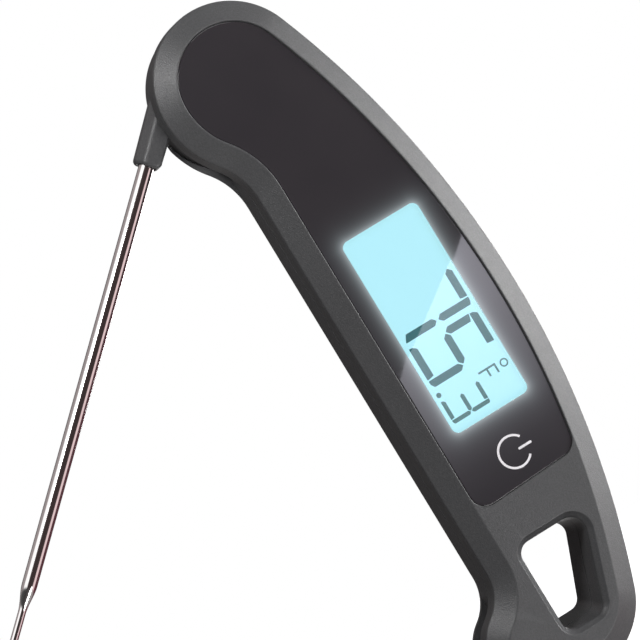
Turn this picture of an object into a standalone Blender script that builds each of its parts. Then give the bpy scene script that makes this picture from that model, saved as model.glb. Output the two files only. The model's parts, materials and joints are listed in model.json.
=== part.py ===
"""Folding-probe cooking thermometer: a D-shaped two-shell body with a round head,
a display under a dark panel, and a steel probe on an arm that turns about a
hollow spindle in the head.

Frame: +Z up along the body (head up), +X to the convex side, the display faces
-Y and the rear face lies at Y = 0.  Lengths below are millimetres; the pivot
axis is parallel to Y through X = 0, Z = PIVOT_Z.  "d" is depth behind the front
face, "z" is height above the pivot.
"""

import bpy
import bmesh
from math import pi, sin, cos, atan2, acos, radians, degrees, hypot, sqrt
from mathutils import Vector, Matrix

# ----------------------------------------------------------------- dimensions
MM = 0.001
THICK = 18.0          # front face to rear face
PIVOT_Z = 75.0        # pivot axis above the frame's origin
REST_ANGLE = 47.3     # probe opened from its folded place, degrees

# body outline: tangent arcs (all relative to the pivot)
HEAD_R = 17.4         # head
APEX_X, APEX_Z = 30.2, -66.7   # widest point of the convex side
UPPER_R = (APEX_Z ** 2 + (APEX_X ** 2 - HEAD_R ** 2)) / (2.0 * (APEX_X - HEAD_R))
LOWER_R = 192.0       # convex side below the widest point
TAIL_R = 17.0         # tail corner
TAIL_DROP = 20.8      # degrees below +X where the tail corner starts
NOSE_X, NOSE_Z, NOSE_R = -7.2, -133.2, 10.5   # hook nose
STRAIGHT_X = -8.66    # straight side
HOOK_Z, HOOK_R = -116.0, 10.38   # concave fillet into the hook
NECK_R = 16.0         # concave neck
SHOULDER_X, SHOULDER_R = 4.1, 21.5   # shoulder under the head
NECK_Z = -sqrt((SHOULDER_R + NECK_R) ** 2 - (SHOULDER_X - STRAIGHT_X + NECK_R) ** 2)

CHAMFER_IN, CHAMFER_D = 4.6, 2.7      # front chamfer
REAR_IN, REAR_D = 3.2, 15.2           # rear chamfer and where it starts
PART_F, PART_R = 7.75, 8.0            # parting faces of the two shells
WALL = 2.0

# panel and display
PANEL_IN = 4.95
PANEL_BOTTOM, PANEL_TILT, PANEL_CORNER = -104.4, 2.3, 3.7
LEDGE = (2.4, 3.6)
LCD = (-1.6, 21.0, -89.2, -39.0)      # glass: x0, x1, z0, z1
TOUCH = (9.7, -97.2)

# hang hole, as a rounded four-sided lip in the front face
LIP = [(-1.62, -113.7), (17.86, -113.7), (9.46, -136.9), (-1.62, -136.9)]
LIP_R = [4.0, 4.6, 4.0, 3.6]
LIP_FLARE = 1.1
LIP_SLOPE = 2.9

# hub, arm and probe, drawn folded
HUB_R, HUB_CLEAR = 16.8, 17.15
HUB_D = (8.1, 15.2, 17.8)
PROBE_X, PROBE_D = -12.0, 11.0
ARM_END = -21.5
TUBE_R, TIP_R = 1.65, 0.85
TAPER = (-111.3, -114.5)
TIP_Z = -129.0

# battery door
DOOR = (11.0, -52.0)
BOSSES = [(19.5, -27.0), (-2.6, -29.0), (21.5, -99.0), (-2.6, -106.0)]
MAGNETS = [(9.5, -29.0), (10.0, -103.0)]

for o in list(bpy.data.objects):
    bpy.data.objects.remove(o, do_unlink=True)

PARTS = bpy.data.collections.new("cooking_thermometer")
TOOLS = bpy.data.collections.new("cutters")
bpy.context.scene.collection.children.link(PARTS)
bpy.context.scene.collection.children.link(TOOLS)


# -------------------------------------------------------------------- helpers
def P(x, d, z):
    return Vector((x * MM, (d - THICK) * MM, (z + PIVOT_Z) * MM))


def material(name, rgb, rough, metal=0.0, alpha=1.0):
    m = bpy.data.materials.new(name)
    m.use_nodes = True
    b = m.node_tree.nodes["Principled BSDF"]
    b.inputs["Base Color"].default_value = (*rgb, 1.0)
    b.inputs["Roughness"].default_value = rough
    b.inputs["Metallic"].default_value = metal
    return m


def from_bmesh(name, bm):
    bmesh.ops.remove_doubles(bm, verts=bm.verts, dist=1e-7)
    bmesh.ops.recalc_face_normals(bm, faces=bm.faces)
    me = bpy.data.meshes.new(name)
    bm.to_mesh(me)
    bm.free()
    ob = bpy.data.objects.new(name, me)
    TOOLS.objects.link(ob)
    ob.hide_render = True
    ob.display_type = "WIRE"
    return ob


def bake(ob):
    """Apply the object's modifiers to its mesh."""
    bpy.context.view_layer.update()
    me = bpy.data.meshes.new_from_object(ob.evaluated_get(bpy.context.evaluated_depsgraph_get()))
    ob.modifiers.clear()
    if ob.type == "MESH":
        ob.data = me
        return ob
    new = bpy.data.objects.new(ob.name, me)
    new.matrix_world = ob.matrix_world.copy()
    TOOLS.objects.link(new)
    bpy.data.objects.remove(ob, do_unlink=True)
    return new


def loft(name, rings):
    """Closed solid through rings of equal length, each (outline, depth)."""
    bm = bmesh.new()
    rows = [[bm.verts.new(P(x, d, z)) for x, z in poly] for poly, d in rings]
    n = len(rows[0])
    for a, b in zip(rows, rows[1:]):
        for i in range(n):
            j = (i + 1) % n
            bm.faces.new((a[i], a[j], b[j], b[i]))
    bm.faces.new(rows[0])
    bm.faces.new(list(reversed(rows[-1])))
    bm.normal_update()
    bmesh.ops.triangulate(bm, faces=[f for f in bm.faces if len(f.verts) > 4])
    return from_bmesh(name, bm)


def prism(name, poly, d0, d1):
    return loft(name, [(poly, d0), (poly, d1)])


def box(name, x0, x1, d0, d1, z0, z1, bevel=0.0):
    bm = bmesh.new()
    bmesh.ops.create_cube(bm, size=1.0)
    bmesh.ops.scale(bm, vec=Vector(((x1 - x0) * MM, (d1 - d0) * MM, (z1 - z0) * MM)), verts=bm.verts)
    bmesh.ops.translate(bm, vec=P((x0 + x1) / 2, (d0 + d1) / 2, (z0 + z1) / 2), verts=bm.verts)
    if bevel:
        bmesh.ops.bevel(bm, geom=bm.edges[:], offset=bevel * MM, segments=1, affect="EDGES")
    return from_bmesh(name, bm)


def disc(name, x, z, r, d0, d1, seg=40):
    bm = bmesh.new()
    bmesh.ops.create_cone(bm, cap_ends=True, segments=seg, radius1=r * MM, radius2=r * MM,
                          depth=(d1 - d0) * MM)
    bmesh.ops.rotate(bm, cent=(0, 0, 0), matrix=Matrix.Rotation(-pi / 2, 3, "X"), verts=bm.verts)
    bmesh.ops.translate(bm, vec=P(x, (d0 + d1) / 2, z), verts=bm.verts)
    return from_bmesh(name, bm)


def turned(name, profile, x, z, seg=40, closed=False):
    """Profile of (radius, depth) turned about the line parallel to Y through x, z."""
    me = bpy.data.meshes.new(name)
    n = len(profile)
    edges = [(i, i + 1) for i in range(n - 1)] + ([(n - 1, 0)] if closed else [])
    me.from_pydata([Vector((r * MM, 0, d * MM)) for r, d in profile], edges, [])
    ob = bpy.data.objects.new(name, me)
    TOOLS.objects.link(ob)
    s = ob.modifiers.new("turn", "SCREW")
    s.axis = "Z"
    s.angle = 2 * pi
    s.steps = s.render_steps = seg
    s.use_merge_vertices = True
    s.merge_threshold = 0.000001
    bake(ob)
    bm = bmesh.new()
    bm.from_mesh(ob.data)
    bpy.data.objects.remove(ob, do_unlink=True)
    bmesh.ops.rotate(bm, cent=(0, 0, 0), matrix=Matrix.Rotation(-pi / 2, 3, "X"), verts=bm.verts)
    bmesh.ops.translate(bm, vec=P(x, 0, z), verts=bm.verts)
    return from_bmesh(name, bm)


def turned_z(name, profile, x, d, seg=24, closed=False):
    """Profile of (radius, z) turned about the vertical line through x at depth d."""
    ob = turned(name, profile, 0, 0, seg, closed)
    m = Matrix.Translation(P(x, d, 0)) @ Matrix.Rotation(pi / 2, 4, "X") @ Matrix.Translation(-P(0, 0, 0))
    ob.data.transform(m)
    return ob


def ring(name, x, z, r0, r1, d0, d1, seg=40):
    return turned(name, [(r1, d0), (r1, d1), (r0, d1), (r0, d0)], x, z, seg, closed=True)


def torus(name, x, z, R, r, d, seg=36, sides=8):
    return turned(name, [(R + r * cos(2 * pi * i / sides), d + r * sin(2 * pi * i / sides))
                         for i in range(sides)], x, z, seg, closed=True)


def wire(name, points, r, resolution=2):
    cu = bpy.data.curves.new(name, "CURVE")
    cu.dimensions = "3D"
    cu.bevel_depth = r * MM
    cu.bevel_resolution = resolution
    cu.use_fill_caps = True
    sp = cu.splines.new("POLY")
    sp.points.add(len(points) - 1)
    for p, q in zip(sp.points, points):
        p.co = (*P(*q), 1.0)
    ob = bpy.data.objects.new(name, cu)
    TOOLS.objects.link(ob)
    ob = bake(ob)
    bm = bmesh.new()
    bm.from_mesh(ob.data)
    bpy.data.objects.remove(ob, do_unlink=True)
    bmesh.ops.remove_doubles(bm, verts=bm.verts, dist=1e-6)
    return from_bmesh(name, bm)


def smooth_route(stops, step):
    """Points along a Catmull-Rom curve through the stops, about one step apart."""
    out = []
    for i in range(len(stops) - 1):
        p0 = Vector(stops[max(i - 1, 0)])
        p1, p2 = Vector(stops[i]), Vector(stops[i + 1])
        p3 = Vector(stops[min(i + 2, len(stops) - 1)])
        n = max(1, round((p2 - p1).length / step))
        for k in range(n):
            t = k / n
            out.append(0.5 * (2 * p1 + (p2 - p0) * t + (2 * p0 - 5 * p1 + 4 * p2 - p3) * t * t
                              + (3 * p1 - p0 - 3 * p2 + p3) * t ** 3))
    out.append(Vector(stops[-1]))
    return [tuple(p) for p in out]


def tidy(ob):
    """Join the flat fragments that a cut leaves, so that the next one is clean."""
    bm = bmesh.new()
    bm.from_mesh(ob.data)
    bmesh.ops.remove_doubles(bm, verts=bm.verts, dist=5e-7)
    bmesh.ops.dissolve_limit(bm, angle_limit=radians(0.15), verts=bm.verts, edges=bm.edges)
    bm.to_mesh(ob.data)
    bm.free()


def boolean(ob, tool, op):
    m = ob.modifiers.new(op, "BOOLEAN")
    m.object = tool
    m.operation = op
    m.solver = "EXACT"
    bake(ob)
    tidy(ob)
    bpy.data.objects.remove(tool, do_unlink=True)
    return ob


def cut(ob, *tools):
    for t in tools:
        boolean(ob, t, "DIFFERENCE")
    return ob


def join(ob, *tools):
    for t in tools:
        boolean(ob, t, "UNION")
    return ob


def keep(ob, tool):
    return boolean(ob, tool, "INTERSECT")


def clean(ob):
    """Merge the sliver edges that a cut can leave, and dissolve flat ones."""
    bm = bmesh.new()
    bm.from_mesh(ob.data)
    bmesh.ops.remove_doubles(bm, verts=bm.verts, dist=2e-6)
    bmesh.ops.dissolve_degenerate(bm, edges=bm.edges, dist=2e-6)
    bmesh.ops.recalc_face_normals(bm, faces=bm.faces)
    bm.to_mesh(ob.data)
    bm.free()
    return ob


PIVOT = bpy.data.objects.new("probe_pivot", None)
PIVOT.location = (0, 0, PIVOT_Z * MM)
PIVOT.rotation_euler = (0, radians(REST_ANGLE), 0)
DOOR_AXIS = bpy.data.objects.new("door_axis", None)
DOOR_AXIS.location = (DOOR[0] * MM, 0, (PIVOT_Z + DOOR[1]) * MM)
for e in (PIVOT, DOOR_AXIS):
    PARTS.objects.link(e)


def part(name, ob, mat, parent=None, angle=35):
    """Finish a solid: name, material, parent with its origin on the axis."""
    clean(ob)
    ob.name = name
    ob.data.name = name
    ob.hide_render = False
    ob.display_type = "TEXTURED"
    ob.data.materials.clear()
    ob.data.materials.append(material(name + "_finish", *mat))
    if parent is not None:
        ob.data.transform(Matrix.Translation(-Vector(parent.location)))
        ob.parent = parent
    ob.data.shade_smooth()
    ob.data.set_sharp_from_angle(angle=radians(angle))
    TOOLS.objects.unlink(ob)
    PARTS.objects.link(ob)
    return ob


# ------------------------------------------------------------------- outlines
def arc(cx, cz, r, a0, a1, n):
    return [(cx + r * cos(radians(a0 + (a1 - a0) * i / n)),
             cz + r * sin(radians(a0 + (a1 - a0) * i / n))) for i in range(n + 1)]


C1 = (APEX_X - UPPER_R, APEX_Z)
C2 = (APEX_X - LOWER_R, APEX_Z)
HEAD_TO = degrees(atan2(-C1[1], -C1[0]))
C3 = (C2[0] + (LOWER_R - TAIL_R) * cos(radians(TAIL_DROP)),
      C2[1] - (LOWER_R - TAIL_R) * sin(radians(TAIL_DROP)))
_D = (NOSE_X - C3[0], NOSE_Z - C3[1])
TAIL_TO = degrees(atan2(_D[1], _D[0]) + acos((TAIL_R - NOSE_R) / hypot(*_D)))
if TAIL_TO > 0:
    TAIL_TO -= 360.0
C5 = (STRAIGHT_X - HOOK_R, HOOK_Z)
NOSE_TO = degrees(atan2(C5[1] - NOSE_Z, C5[0] - NOSE_X))
C6 = (STRAIGHT_X - NECK_R, NECK_Z)
NECK_TO = degrees(atan2(0 - C6[1], SHOULDER_X - C6[0]))


def left_side(o):
    """From the straight side up the neck and shoulder to the head's left."""
    return (arc(*C6, NECK_R + o, 0, NECK_TO, 6)
            + arc(SHOULDER_X, 0, SHOULDER_R - o, 180 + NECK_TO, 180, 6)[1:])


def outline(o=0.0):
    """The body outline, inset by o; always the same number of points."""
    return (left_side(o)
            + arc(0, 0, HEAD_R - o, 180, HEAD_TO, 22)[1:]
            + arc(*C1, UPPER_R - o, HEAD_TO, 0, 8)[1:]
            + arc(*C2, LOWER_R - o, 0, -TAIL_DROP, 8)[1:]
            + arc(*C3, TAIL_R - o, -TAIL_DROP, TAIL_TO, 11)[1:]
            + arc(NOSE_X, NOSE_Z, NOSE_R - o, TAIL_TO + 360, NOSE_TO, 14)
            + arc(*C5, HOOK_R + o, NOSE_TO - 180, 0, 6)[1:])


def panel(o, bottom_up=0.0):
    """The panel: the outline inset by o, closed by a slanted, rounded bottom."""
    r = max(PANEL_CORNER - (o - PANEL_IN), 0.8)
    t = radians(PANEL_TILT)
    u, n = (cos(t), sin(t)), (-sin(t), cos(t))
    p0 = (STRAIGHT_X + PANEL_IN, PANEL_BOTTOM + bottom_up)
    # left corner centre: on x = left + r, at r above the bottom line
    lx = STRAIGHT_X + o + r
    lz = p0[1] + (r - n[0] * (lx - p0[0])) / n[1]
    # right corner centre: at r above the line and (LOWER_R - o - r) from C2
    q = (p0[0] + r * n[0] - C2[0], p0[1] + r * n[1] - C2[1])
    b = q[0] * u[0] + q[1] * u[1]
    c = q[0] ** 2 + q[1] ** 2 - (LOWER_R - o - r) ** 2
    s = -b + sqrt(b * b - c)
    rx, rz = C2[0] + q[0] + s * u[0], C2[1] + q[1] + s * u[1]
    a = degrees(atan2(rz - C2[1], rx - C2[0]))
    return (left_side(o)
            + arc(0, 0, HEAD_R - o, 180, HEAD_TO, 22)[1:]
            + arc(*C1, UPPER_R - o, HEAD_TO, 0, 8)[1:]
            + arc(*C2, LOWER_R - o, 0, a, 5)[1:]
            + arc(rx, rz, r, a, -90 + PANEL_TILT, 6)[1:]
            + arc(lx, lz, r, 270 + PANEL_TILT, 180, 6))


def rounded(corners, radii, grow=0.0, n=5):
    """A polygon with rounded corners, grown outwards; corners run clockwise."""
    out = []
    k = len(corners)
    cx = sum(c[0] for c in corners) / k
    cz = sum(c[1] for c in corners) / k
    for i in range(k):
        p, a, b = Vector(corners[i]), Vector(corners[i - 1]), Vector(corners[(i + 1) % k])
        e0, e1 = (a - p).normalized(), (b - p).normalized()
        half = acos(max(-1, min(1, e0.dot(e1)))) / 2
        r = radii[i]
        centre = p + (e0 + e1).normalized() * (r / sin(half))
        n0 = Vector((e0.y, -e0.x))
        if n0.dot(p - centre) < 0:
            n0 = -n0
        n1 = Vector((e1.y, -e1.x))
        if n1.dot(p - centre) < 0:
            n1 = -n1
        t0, t1 = atan2(n0.y, n0.x), atan2(n1.y, n1.x)
        d = (t1 - t0 + pi) % (2 * pi) - pi
        rr = max(r + grow, 0.3)
        shift = centre
        for j in range(n + 1):
            t = t0 + d * j / n
            out.append((shift.x + rr * cos(t), shift.y + rr * sin(t)))
    return out


def raise_bottom(poly, dz, z_from=-136.9, z_to=-113.7):
    """Lift the lower side of an outline by dz, fading out to its top side."""
    out = []
    for x, z in poly:
        f = max(0.0, min(1.0, (z_to - z) / (z_to - z_from)))
        out.append((x, z + dz * f))
    return out


LIP_IN = rounded(LIP, LIP_R, -LIP_FLARE)


def hang_cutter():
    return loft("hang_cutter", [
        (rounded(LIP, LIP_R, 0.0), -1.0),
        (rounded(LIP, LIP_R, 0.0), 0.0),
        (rounded(LIP, LIP_R, -0.75), 0.5),
        (LIP_IN, 1.4),
        (raise_bottom(LIP_IN, LIP_SLOPE), 17.3),
        (raise_bottom(rounded(LIP, LIP_R, -LIP_FLARE + 0.6), LIP_SLOPE), 18.0),
        (raise_bottom(rounded(LIP, LIP_R, -LIP_FLARE + 0.6), LIP_SLOPE), 19.0)])


def inside(o, d0, d1):
    return prism("inside", outline(o), d0, d1)


def inside_rear(o):
    """The space inside the rear shell's skin, following its rear chamfer."""
    return loft("inside_rear", [(outline(o), 6.5), (outline(o), 15.0), (outline(o + 2.4), 17.1)])


def sector(name, x, z, r0, r1, d0, d1, a0, a1, n=5):
    poly = arc(x, z, r1, a1, a0, n) + arc(x, z, r0, a0, a1, n)
    return prism(name, poly, d0, d1)


# -------------------------------------------------------------- front housing
GREY = ((0.085, 0.085, 0.09), 0.55)
DARK = ((0.02, 0.02, 0.022), 0.5)
STEEL = ((0.62, 0.60, 0.58), 0.22, 1.0)
RUBBER = ((0.015, 0.015, 0.015), 0.8)
WHITE = ((0.75, 0.75, 0.72), 0.5)
GOLD = ((0.75, 0.55, 0.2), 0.3, 1.0)
BRASS = ((0.65, 0.5, 0.22), 0.3, 1.0)

front = loft("front", [
    (outline(CHAMFER_IN), 0.0),
    (outline(0.0), CHAMFER_D),
    (outline(0.0), PART_F),
    (outline(1.0), PART_F),
    (outline(1.0), 7.0),
    (outline(WALL), 7.0),
    (outline(WALL), LEDGE[1])])
join(front, keep(box("hook_fill", -20, -2, 3.0, 6.9, -150, -116.8), inside(1.5, 2, 8)))
join(front, prism("hang_wall", rounded(LIP, LIP_R, 0.8), 2.8, PART_F))
for x, z in BOSSES:
    join(front, disc("boss", x, z, 2.5, 3.3, 8.9, 20))
cut(front,
    prism("recess", panel(PANEL_IN), -1.0, LEDGE[0]),
    box("window", LCD[0] - 0.3, LCD[1] + 0.3, 2.0, 4.0, LCD[2] - 0.3, LCD[3] + 0.3),
    disc("touch_hole", *TOUCH, 2.5, 2.0, 4.0, 20),
    hang_cutter())
for x, z in BOSSES:
    cut(front, disc("pilot", x, z, 1.25, 4.4, 9.5, 16))
part("front_housing", front, GREY)

# --------------------------------------------------------------- rear housing
rear = loft("rear", [
    (outline(3.6), 16.2),
    (outline(WALL), 15.0),
    (outline(WALL), PART_R),
    (outline(0.0), PART_R),
    (outline(0.0), REAR_D),
    (outline(REAR_IN), THICK)])
join(rear,
     keep(disc("arc_wall", 0, 0, 18.9, 8.1, 17.0, 56), inside_rear(0.6)),
     keep(disc("deck", 0, 0, 18.3, 6.2, 8.6, 52), inside(2.3, 5, 9)),
     keep(box("slot_liner", -9.4, -6.9, 8.15, 16.6, -27, -11), inside_rear(0.7)),
     keep(box("hook_fill", -20, -2, 8.12, 16.9, -150, -116.8), inside_rear(0.65)),
     prism("hang_wall", rounded(LIP, LIP_R, 0.8), 8.05, 17.2))
for x, z in BOSSES:
    join(rear, disc("boss", x, z, 3.3, 9.2, 17.0, 24))
join(rear, ring("collar", *DOOR, 10.0, 14.8, 13.0, 17.0, 48))
for x, z in MAGNETS:
    join(rear, ring("magnet_seat", x, z, 5.2, 6.3, 14.0, 17.0, 32))
cut(rear,
    disc("hub_room", 0, 0, HUB_CLEAR, 7.8, 20.0, 60),
    box("head_open", -40, 40, 7.85, 20, -3, 40),
    box("horn_end", -40, -15.0, 7.85, 20, -30, 20),
    box("arm_slot", -40, -8.75, 7.85, 14.2, -26, 60),
    box("tip_slot", -40, -9.7, 7.85, 13.2, -132, -108),
    hang_cutter(),
    disc("door_opening", *DOOR, 13.2, 12.0, 20.0, 48),
    disc("spindle_hole", 0, 0, 3.9, 5.0, 9.0, 24),
    box("label_recess", 1.0, 21.0, 17.5, 20, -92.0, -78.0))
for a in (30, 150, 270):
    join(rear, sector("tab", *DOOR, 12.3, 13.9, 14.6, 15.2, a - 18, a + 18))
for x, z in BOSSES:
    cut(rear, turned("screw_way", [(0, 8.5), (1.3, 8.5), (1.3, 14.5), (2.4, 14.5), (2.4, 20), (0, 20)], x, z, 20))
part("rear_housing", rear, GREY)

# ---------------------------------------------------------- seals and display
bm = bmesh.new()
_rows = [[bm.verts.new(P(x, d, z)) for x, z in outline(o)] for o, d in
         ((1.15, 7.15), (1.15, 7.85), (1.85, 7.85), (1.85, 7.15))]
for k in range(4):
    a, b = _rows[k], _rows[(k + 1) % 4]
    for i in range(len(a)):
        j = (i + 1) % len(a)
        bm.faces.new((a[i], a[j], b[j], b[i]))
part("housing_gasket", from_bmesh("gasket", bm), RUBBER)

part("display_lens", loft("lens", [(panel(5.4), 0.3), (panel(5.15), 0.5), (panel(5.15), 1.5)]),
     ((0.02, 0.02, 0.023), 0.08))

tape = prism("tape", panel(5.6), 1.8, 2.1)
cut(tape,
    box("view", LCD[0] - 0.3, LCD[1] + 0.3, 1, 3, LCD[2] - 0.3, LCD[3] + 0.3),
    disc("hole", *TOUCH, 5.0, 1, 3, 28))
part("lens_adhesive", tape, DARK)

part("lcd_glass", box("lcd", LCD[0], LCD[1], 2.2, 3.3, LCD[2], LCD[3], 0.1), ((0.45, 0.85, 0.9), 0.1))
part("light_guide", box("guide", 0.0, 19.6, 3.55, 4.6, -88.0, -40.5, 0.15), ((0.6, 0.95, 0.95), 0.2))
part("backlight_led", box("led", 8.0, 12.0, 3.7, 4.6, -89.1, -88.25, 0.05), WHITE)
part("lcd_frame", cut(box("frame", -3.0, 22.4, 3.85, 4.8, -90.5, -37.7, 0.1),
                      box("open", -1.8, 21.2, 3, 6, -89.3, -38.9)), WHITE)
part("zebra_strip", box("zebra", -1.5, -0.5, 3.55, 4.8, -86.0, -42.0, 0.08), ((0.5, 0.35, 0.4), 0.7))

board = join(box("board", -5.8, 22.4, 5.0, 5.9, -110.0, -24.5), box("tongue", 5.0, 13.0, 5.0, 5.9, -25.0, -7.0))
cut(board, box("corner", 17.5, 30, 4, 7, -27.0, -20.0))
for x, z in BOSSES:
    cut(board, disc("clear", x, z, 2.9, 4, 7, 20))
part("main_board", board, ((0.02, 0.16, 0.07), 0.45))
part("controller_chip", box("chip", 6.5, 13.5, 6.1, 7.1, -84.0, -77.0, 0.12), DARK)
part("motion_sensor", box("motion", 0.5, 3.5, 6.1, 6.9, -90.0, -87.0, 0.1), DARK)
part("hall_sensor", box("hall", 7.5, 10.5, 3.95, 4.8, -10.5, -8.0, 0.1), DARK)
part("touch_electrode", disc("touch", *TOUCH, 4.5, 1.8, 2.1, 28), GOLD)
part("touch_contact", disc("contact", *TOUCH, 1.7, 2.4, 4.75, 16), GOLD)

# ------------------------------------------------------------------- battery
tray = turned("tray", [(0, 6.2), (11.7, 6.2), (11.7, 12.4), (10.3, 12.4), (10.3, 7.4), (0, 7.4)], *DOOR, 40)
cut(tray, box("notch", DOOR[0] + 9, DOOR[0] + 13, 7.4, 14, DOOR[1] - 2.2, DOOR[1] + 2.2))
part("battery_tray", tray, DARK)
part("battery_cell", turned("cell", [(0, 9.6), (8.6, 9.6), (8.9, 9.9), (9.9, 10.1), (10.0, 10.4),
                                     (10.0, 12.6), (9.8, 12.8), (0, 12.8)], *DOOR, 28), STEEL)
part("battery_contact_positive",
     join(box("clip", DOOR[0] + 10.25, DOOR[0] + 10.6, 7.65, 12.9, DOOR[1] - 1.6, DOOR[1] + 1.6),
          box("foot", DOOR[0] + 10.3, DOOR[0] + 13.2, 7.65, 7.95, DOOR[1] - 1.6, DOOR[1] + 1.6)), GOLD)


def strip(name, pts, t, x0, x1):
    """A bent metal strip: a route of (z, d) with thickness t, from x0 to x1."""
    up, dn = [], []
    for i, (z, d) in enumerate(pts):
        a, b = pts[max(i - 1, 0)], pts[min(i + 1, len(pts) - 1)]
        tz, td = b[0] - a[0], b[1] - a[1]
        m = hypot(tz, td)
        nz, nd = -td / m * t / 2, tz / m * t / 2
        up.append((z + nz, d + nd))
        dn.append((z - nz, d - nd))
    poly = up + dn[::-1]
    bm = bmesh.new()
    a = [bm.verts.new(P(x0, d, z)) for z, d in poly]
    b = [bm.verts.new(P(x1, d, z)) for z, d in poly]
    n = len(poly)
    h = len(pts)
    for i in range(n):
        j = (i + 1) % n
        bm.faces.new((a[i], a[j], b[j], b[i]))
    for i in range(h - 1):
        bm.faces.new((a[i], a[i + 1], a[n - 2 - i], a[n - 1 - i]))
        bm.faces.new((b[i], b[i + 1], b[n - 2 - i], b[n - 1 - i]))
    return from_bmesh(name, bm)


part("battery_contact_negative",
     strip("leaf", [(-59, 7.8), (-53, 7.8), (-51.5, 8.2), (-48.5, 9.1), (-47.2, 9.2), (-46, 8.8)], 0.25, 9.0, 13.0), GOLD)

door = turned("door", [(0, 16.4), (10.4, 16.4), (10.4, 13.4), (11.6, 13.4), (11.6, 16.6), (12.9, 16.6),
                       (12.9, 17.7), (12.6, 18.0), (0, 18.0)], *DOOR, 40)
for a in (30, 150, 270):
    join(door, sector("lug", *DOOR, 11.0, 12.8, 13.6, 14.3, a - 16, a + 16))
cut(door, box("coin_slot", DOOR[0] - 7, DOOR[0] + 7, 17.1, 20, DOOR[1] - 0.9, DOOR[1] + 0.9))
part("battery_door", door, DARK, DOOR_AXIS)
part("door_oring", torus("door_oring", *DOOR, 12.3, 0.45, 15.95, 28, 6), RUBBER, DOOR_AXIS)

# ------------------------------------------------- screws, magnets and label
for i, (x, z) in enumerate(BOSSES, 1):
    s = turned("screw", [(0, 4.7), (0.8, 4.7), (1.0, 5.0), (1.0, 14.75), (2.1, 14.75), (2.1, 15.9), (1.8, 16.3),
                         (0, 16.3)], x, z, 18)
    cut(s, box("slot_a", x - 1.2, x + 1.2, 15.5, 17, z - 0.25, z + 0.25),
        box("slot_b", x - 0.25, x + 0.25, 15.5, 17, z - 1.2, z + 1.2))
    part("housing_screw_%d" % i, s, STEEL)
for name, (x, z) in zip(("magnet_upper", "magnet_lower"), MAGNETS):
    part(name, turned("magnet", [(0, 14.0), (4.7, 14.0), (4.9, 14.2), (4.9, 15.7), (4.7, 15.9), (0, 15.9)], x, z, 28), STEEL)
part("rear_label", box("label", 1.3, 20.7, 17.7, 17.95, -91.7, -78.3), ((0.03, 0.03, 0.032), 0.4))

# --------------------------------------------------------- spindle and cable
part("pivot_spindle", turned("spindle", [
    (2.2, 5.4), (6.0, 5.4), (6.0, 5.95), (3.6, 5.95), (3.6, 11.8), (3.1, 11.8), (3.1, 12.6), (3.6, 12.6),
    (3.6, 13.2), (3.4, 13.4), (2.2, 13.4)], 0, 0, 20, closed=True), BRASS)
part("spindle_clip", ring("clip", 0, 0, 3.3, 6.8, 11.95, 12.45, 28), STEEL)
part("wave_washer", ring("washer", 0, 0, 3.85, 6.6, 11.25, 11.7, 28), STEEL)
part("sensor_cable", wire("cable", smooth_route([(1.5, 4.3, -30), (1.5, 4.3, -24), (0.6, 4.3, -14), (0, 4.3, -6),
                                                  (0, 4.5, -1.6), (0, 5.9, -0.1), (0, 8, 0), (0, 12.3, 0)], 1.3), 0.55), DARK)

# ------------------------------------------------------- probe body, folded
hub = turned("hub", [(3.9, HUB_D[0]), (5.9, HUB_D[0]), (5.9, 9.25), (7.5, 9.25), (7.5, HUB_D[0]),
                     (HUB_R - 0.2, HUB_D[0]), (HUB_R, HUB_D[0] + 0.2), (HUB_R, HUB_D[1]),
                     (HUB_R - 2.4, HUB_D[2]), (10.7, HUB_D[2]), (10.7, 16.3), (9.5, 16.3),
                     (9.5, 11.0), (3.9, 11.0)], 0, 0, 52, closed=True)


def arm_section(i):
    """The arm's outline, inset by i: it narrows slightly to its rounded end."""
    return rounded([(-15.15 + i, -4.5), (-9.0 - i, -7.0), (-9.15 - i, ARM_END + i), (-14.85 + i, ARM_END + i)],
                   [0.5, 0.5, 1.1, 1.1], 0.0, 3)


arm = loft("arm", [(arm_section(0.9), 8.15), (arm_section(0.25), 8.55), (arm_section(0.0), 9.3),
                   (arm_section(0.0), 12.7), (arm_section(0.25), 13.45), (arm_section(0.9), 13.85)])
join(hub, arm)
cut(hub,
    disc("magnet_pocket", 8.8, -8.8, 2.45, 7.5, 10.6, 20),
    turned_z("socket", [(0, -30), (1.95, -30), (1.95, -9.6), (2.5, -9.2), (2.5, -2.0), (0, -2.0)], PROBE_X, PROBE_D, 20),
    box("wire_way", -13.2, -8.0, 9.8, 12.2, -4.9, -2.5))
part("probe_hub", hub, GREY, PIVOT)

part("hub_cap", turned("cap", [(0, 16.55), (10.2, 16.55), (10.4, 16.75), (10.4, 17.4), (10.1, 17.7), (9.0, 17.8), (0, 17.8)],
                       0, 0, 40), GREY, PIVOT)
part("hub_magnet", disc("hub_magnet", 8.8, -8.8, 2.2, 8.4, 10.3, 20), STEEL, PIVOT)
part("hub_oring", torus("hub_oring", 0, 0, 6.7, 0.5, 8.5, 24, 6), RUBBER, PIVOT)
part("probe_tube", turned_z("tube", [
    (0, TIP_Z + 2.0), (0.5, TIP_Z + 2.4), (0.5, TAPER[1] + 0.2), (1.2, TAPER[0]), (1.2, -9.0), (TUBE_R, -9.0),
    (TUBE_R, TAPER[0]), (TIP_R, TAPER[1]), (TIP_R, TIP_Z + 1.0), (0.62, TIP_Z + 0.3), (0, TIP_Z)], PROBE_X, PROBE_D, 24),
    STEEL, PIVOT)
part("tube_anchor", turned_z("anchor", [(2.3, -8.8), (2.3, -4.9), (1.9, -4.9), (1.9, -8.8)], PROBE_X, PROBE_D, 20, closed=True),
     BRASS, PIVOT)
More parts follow.
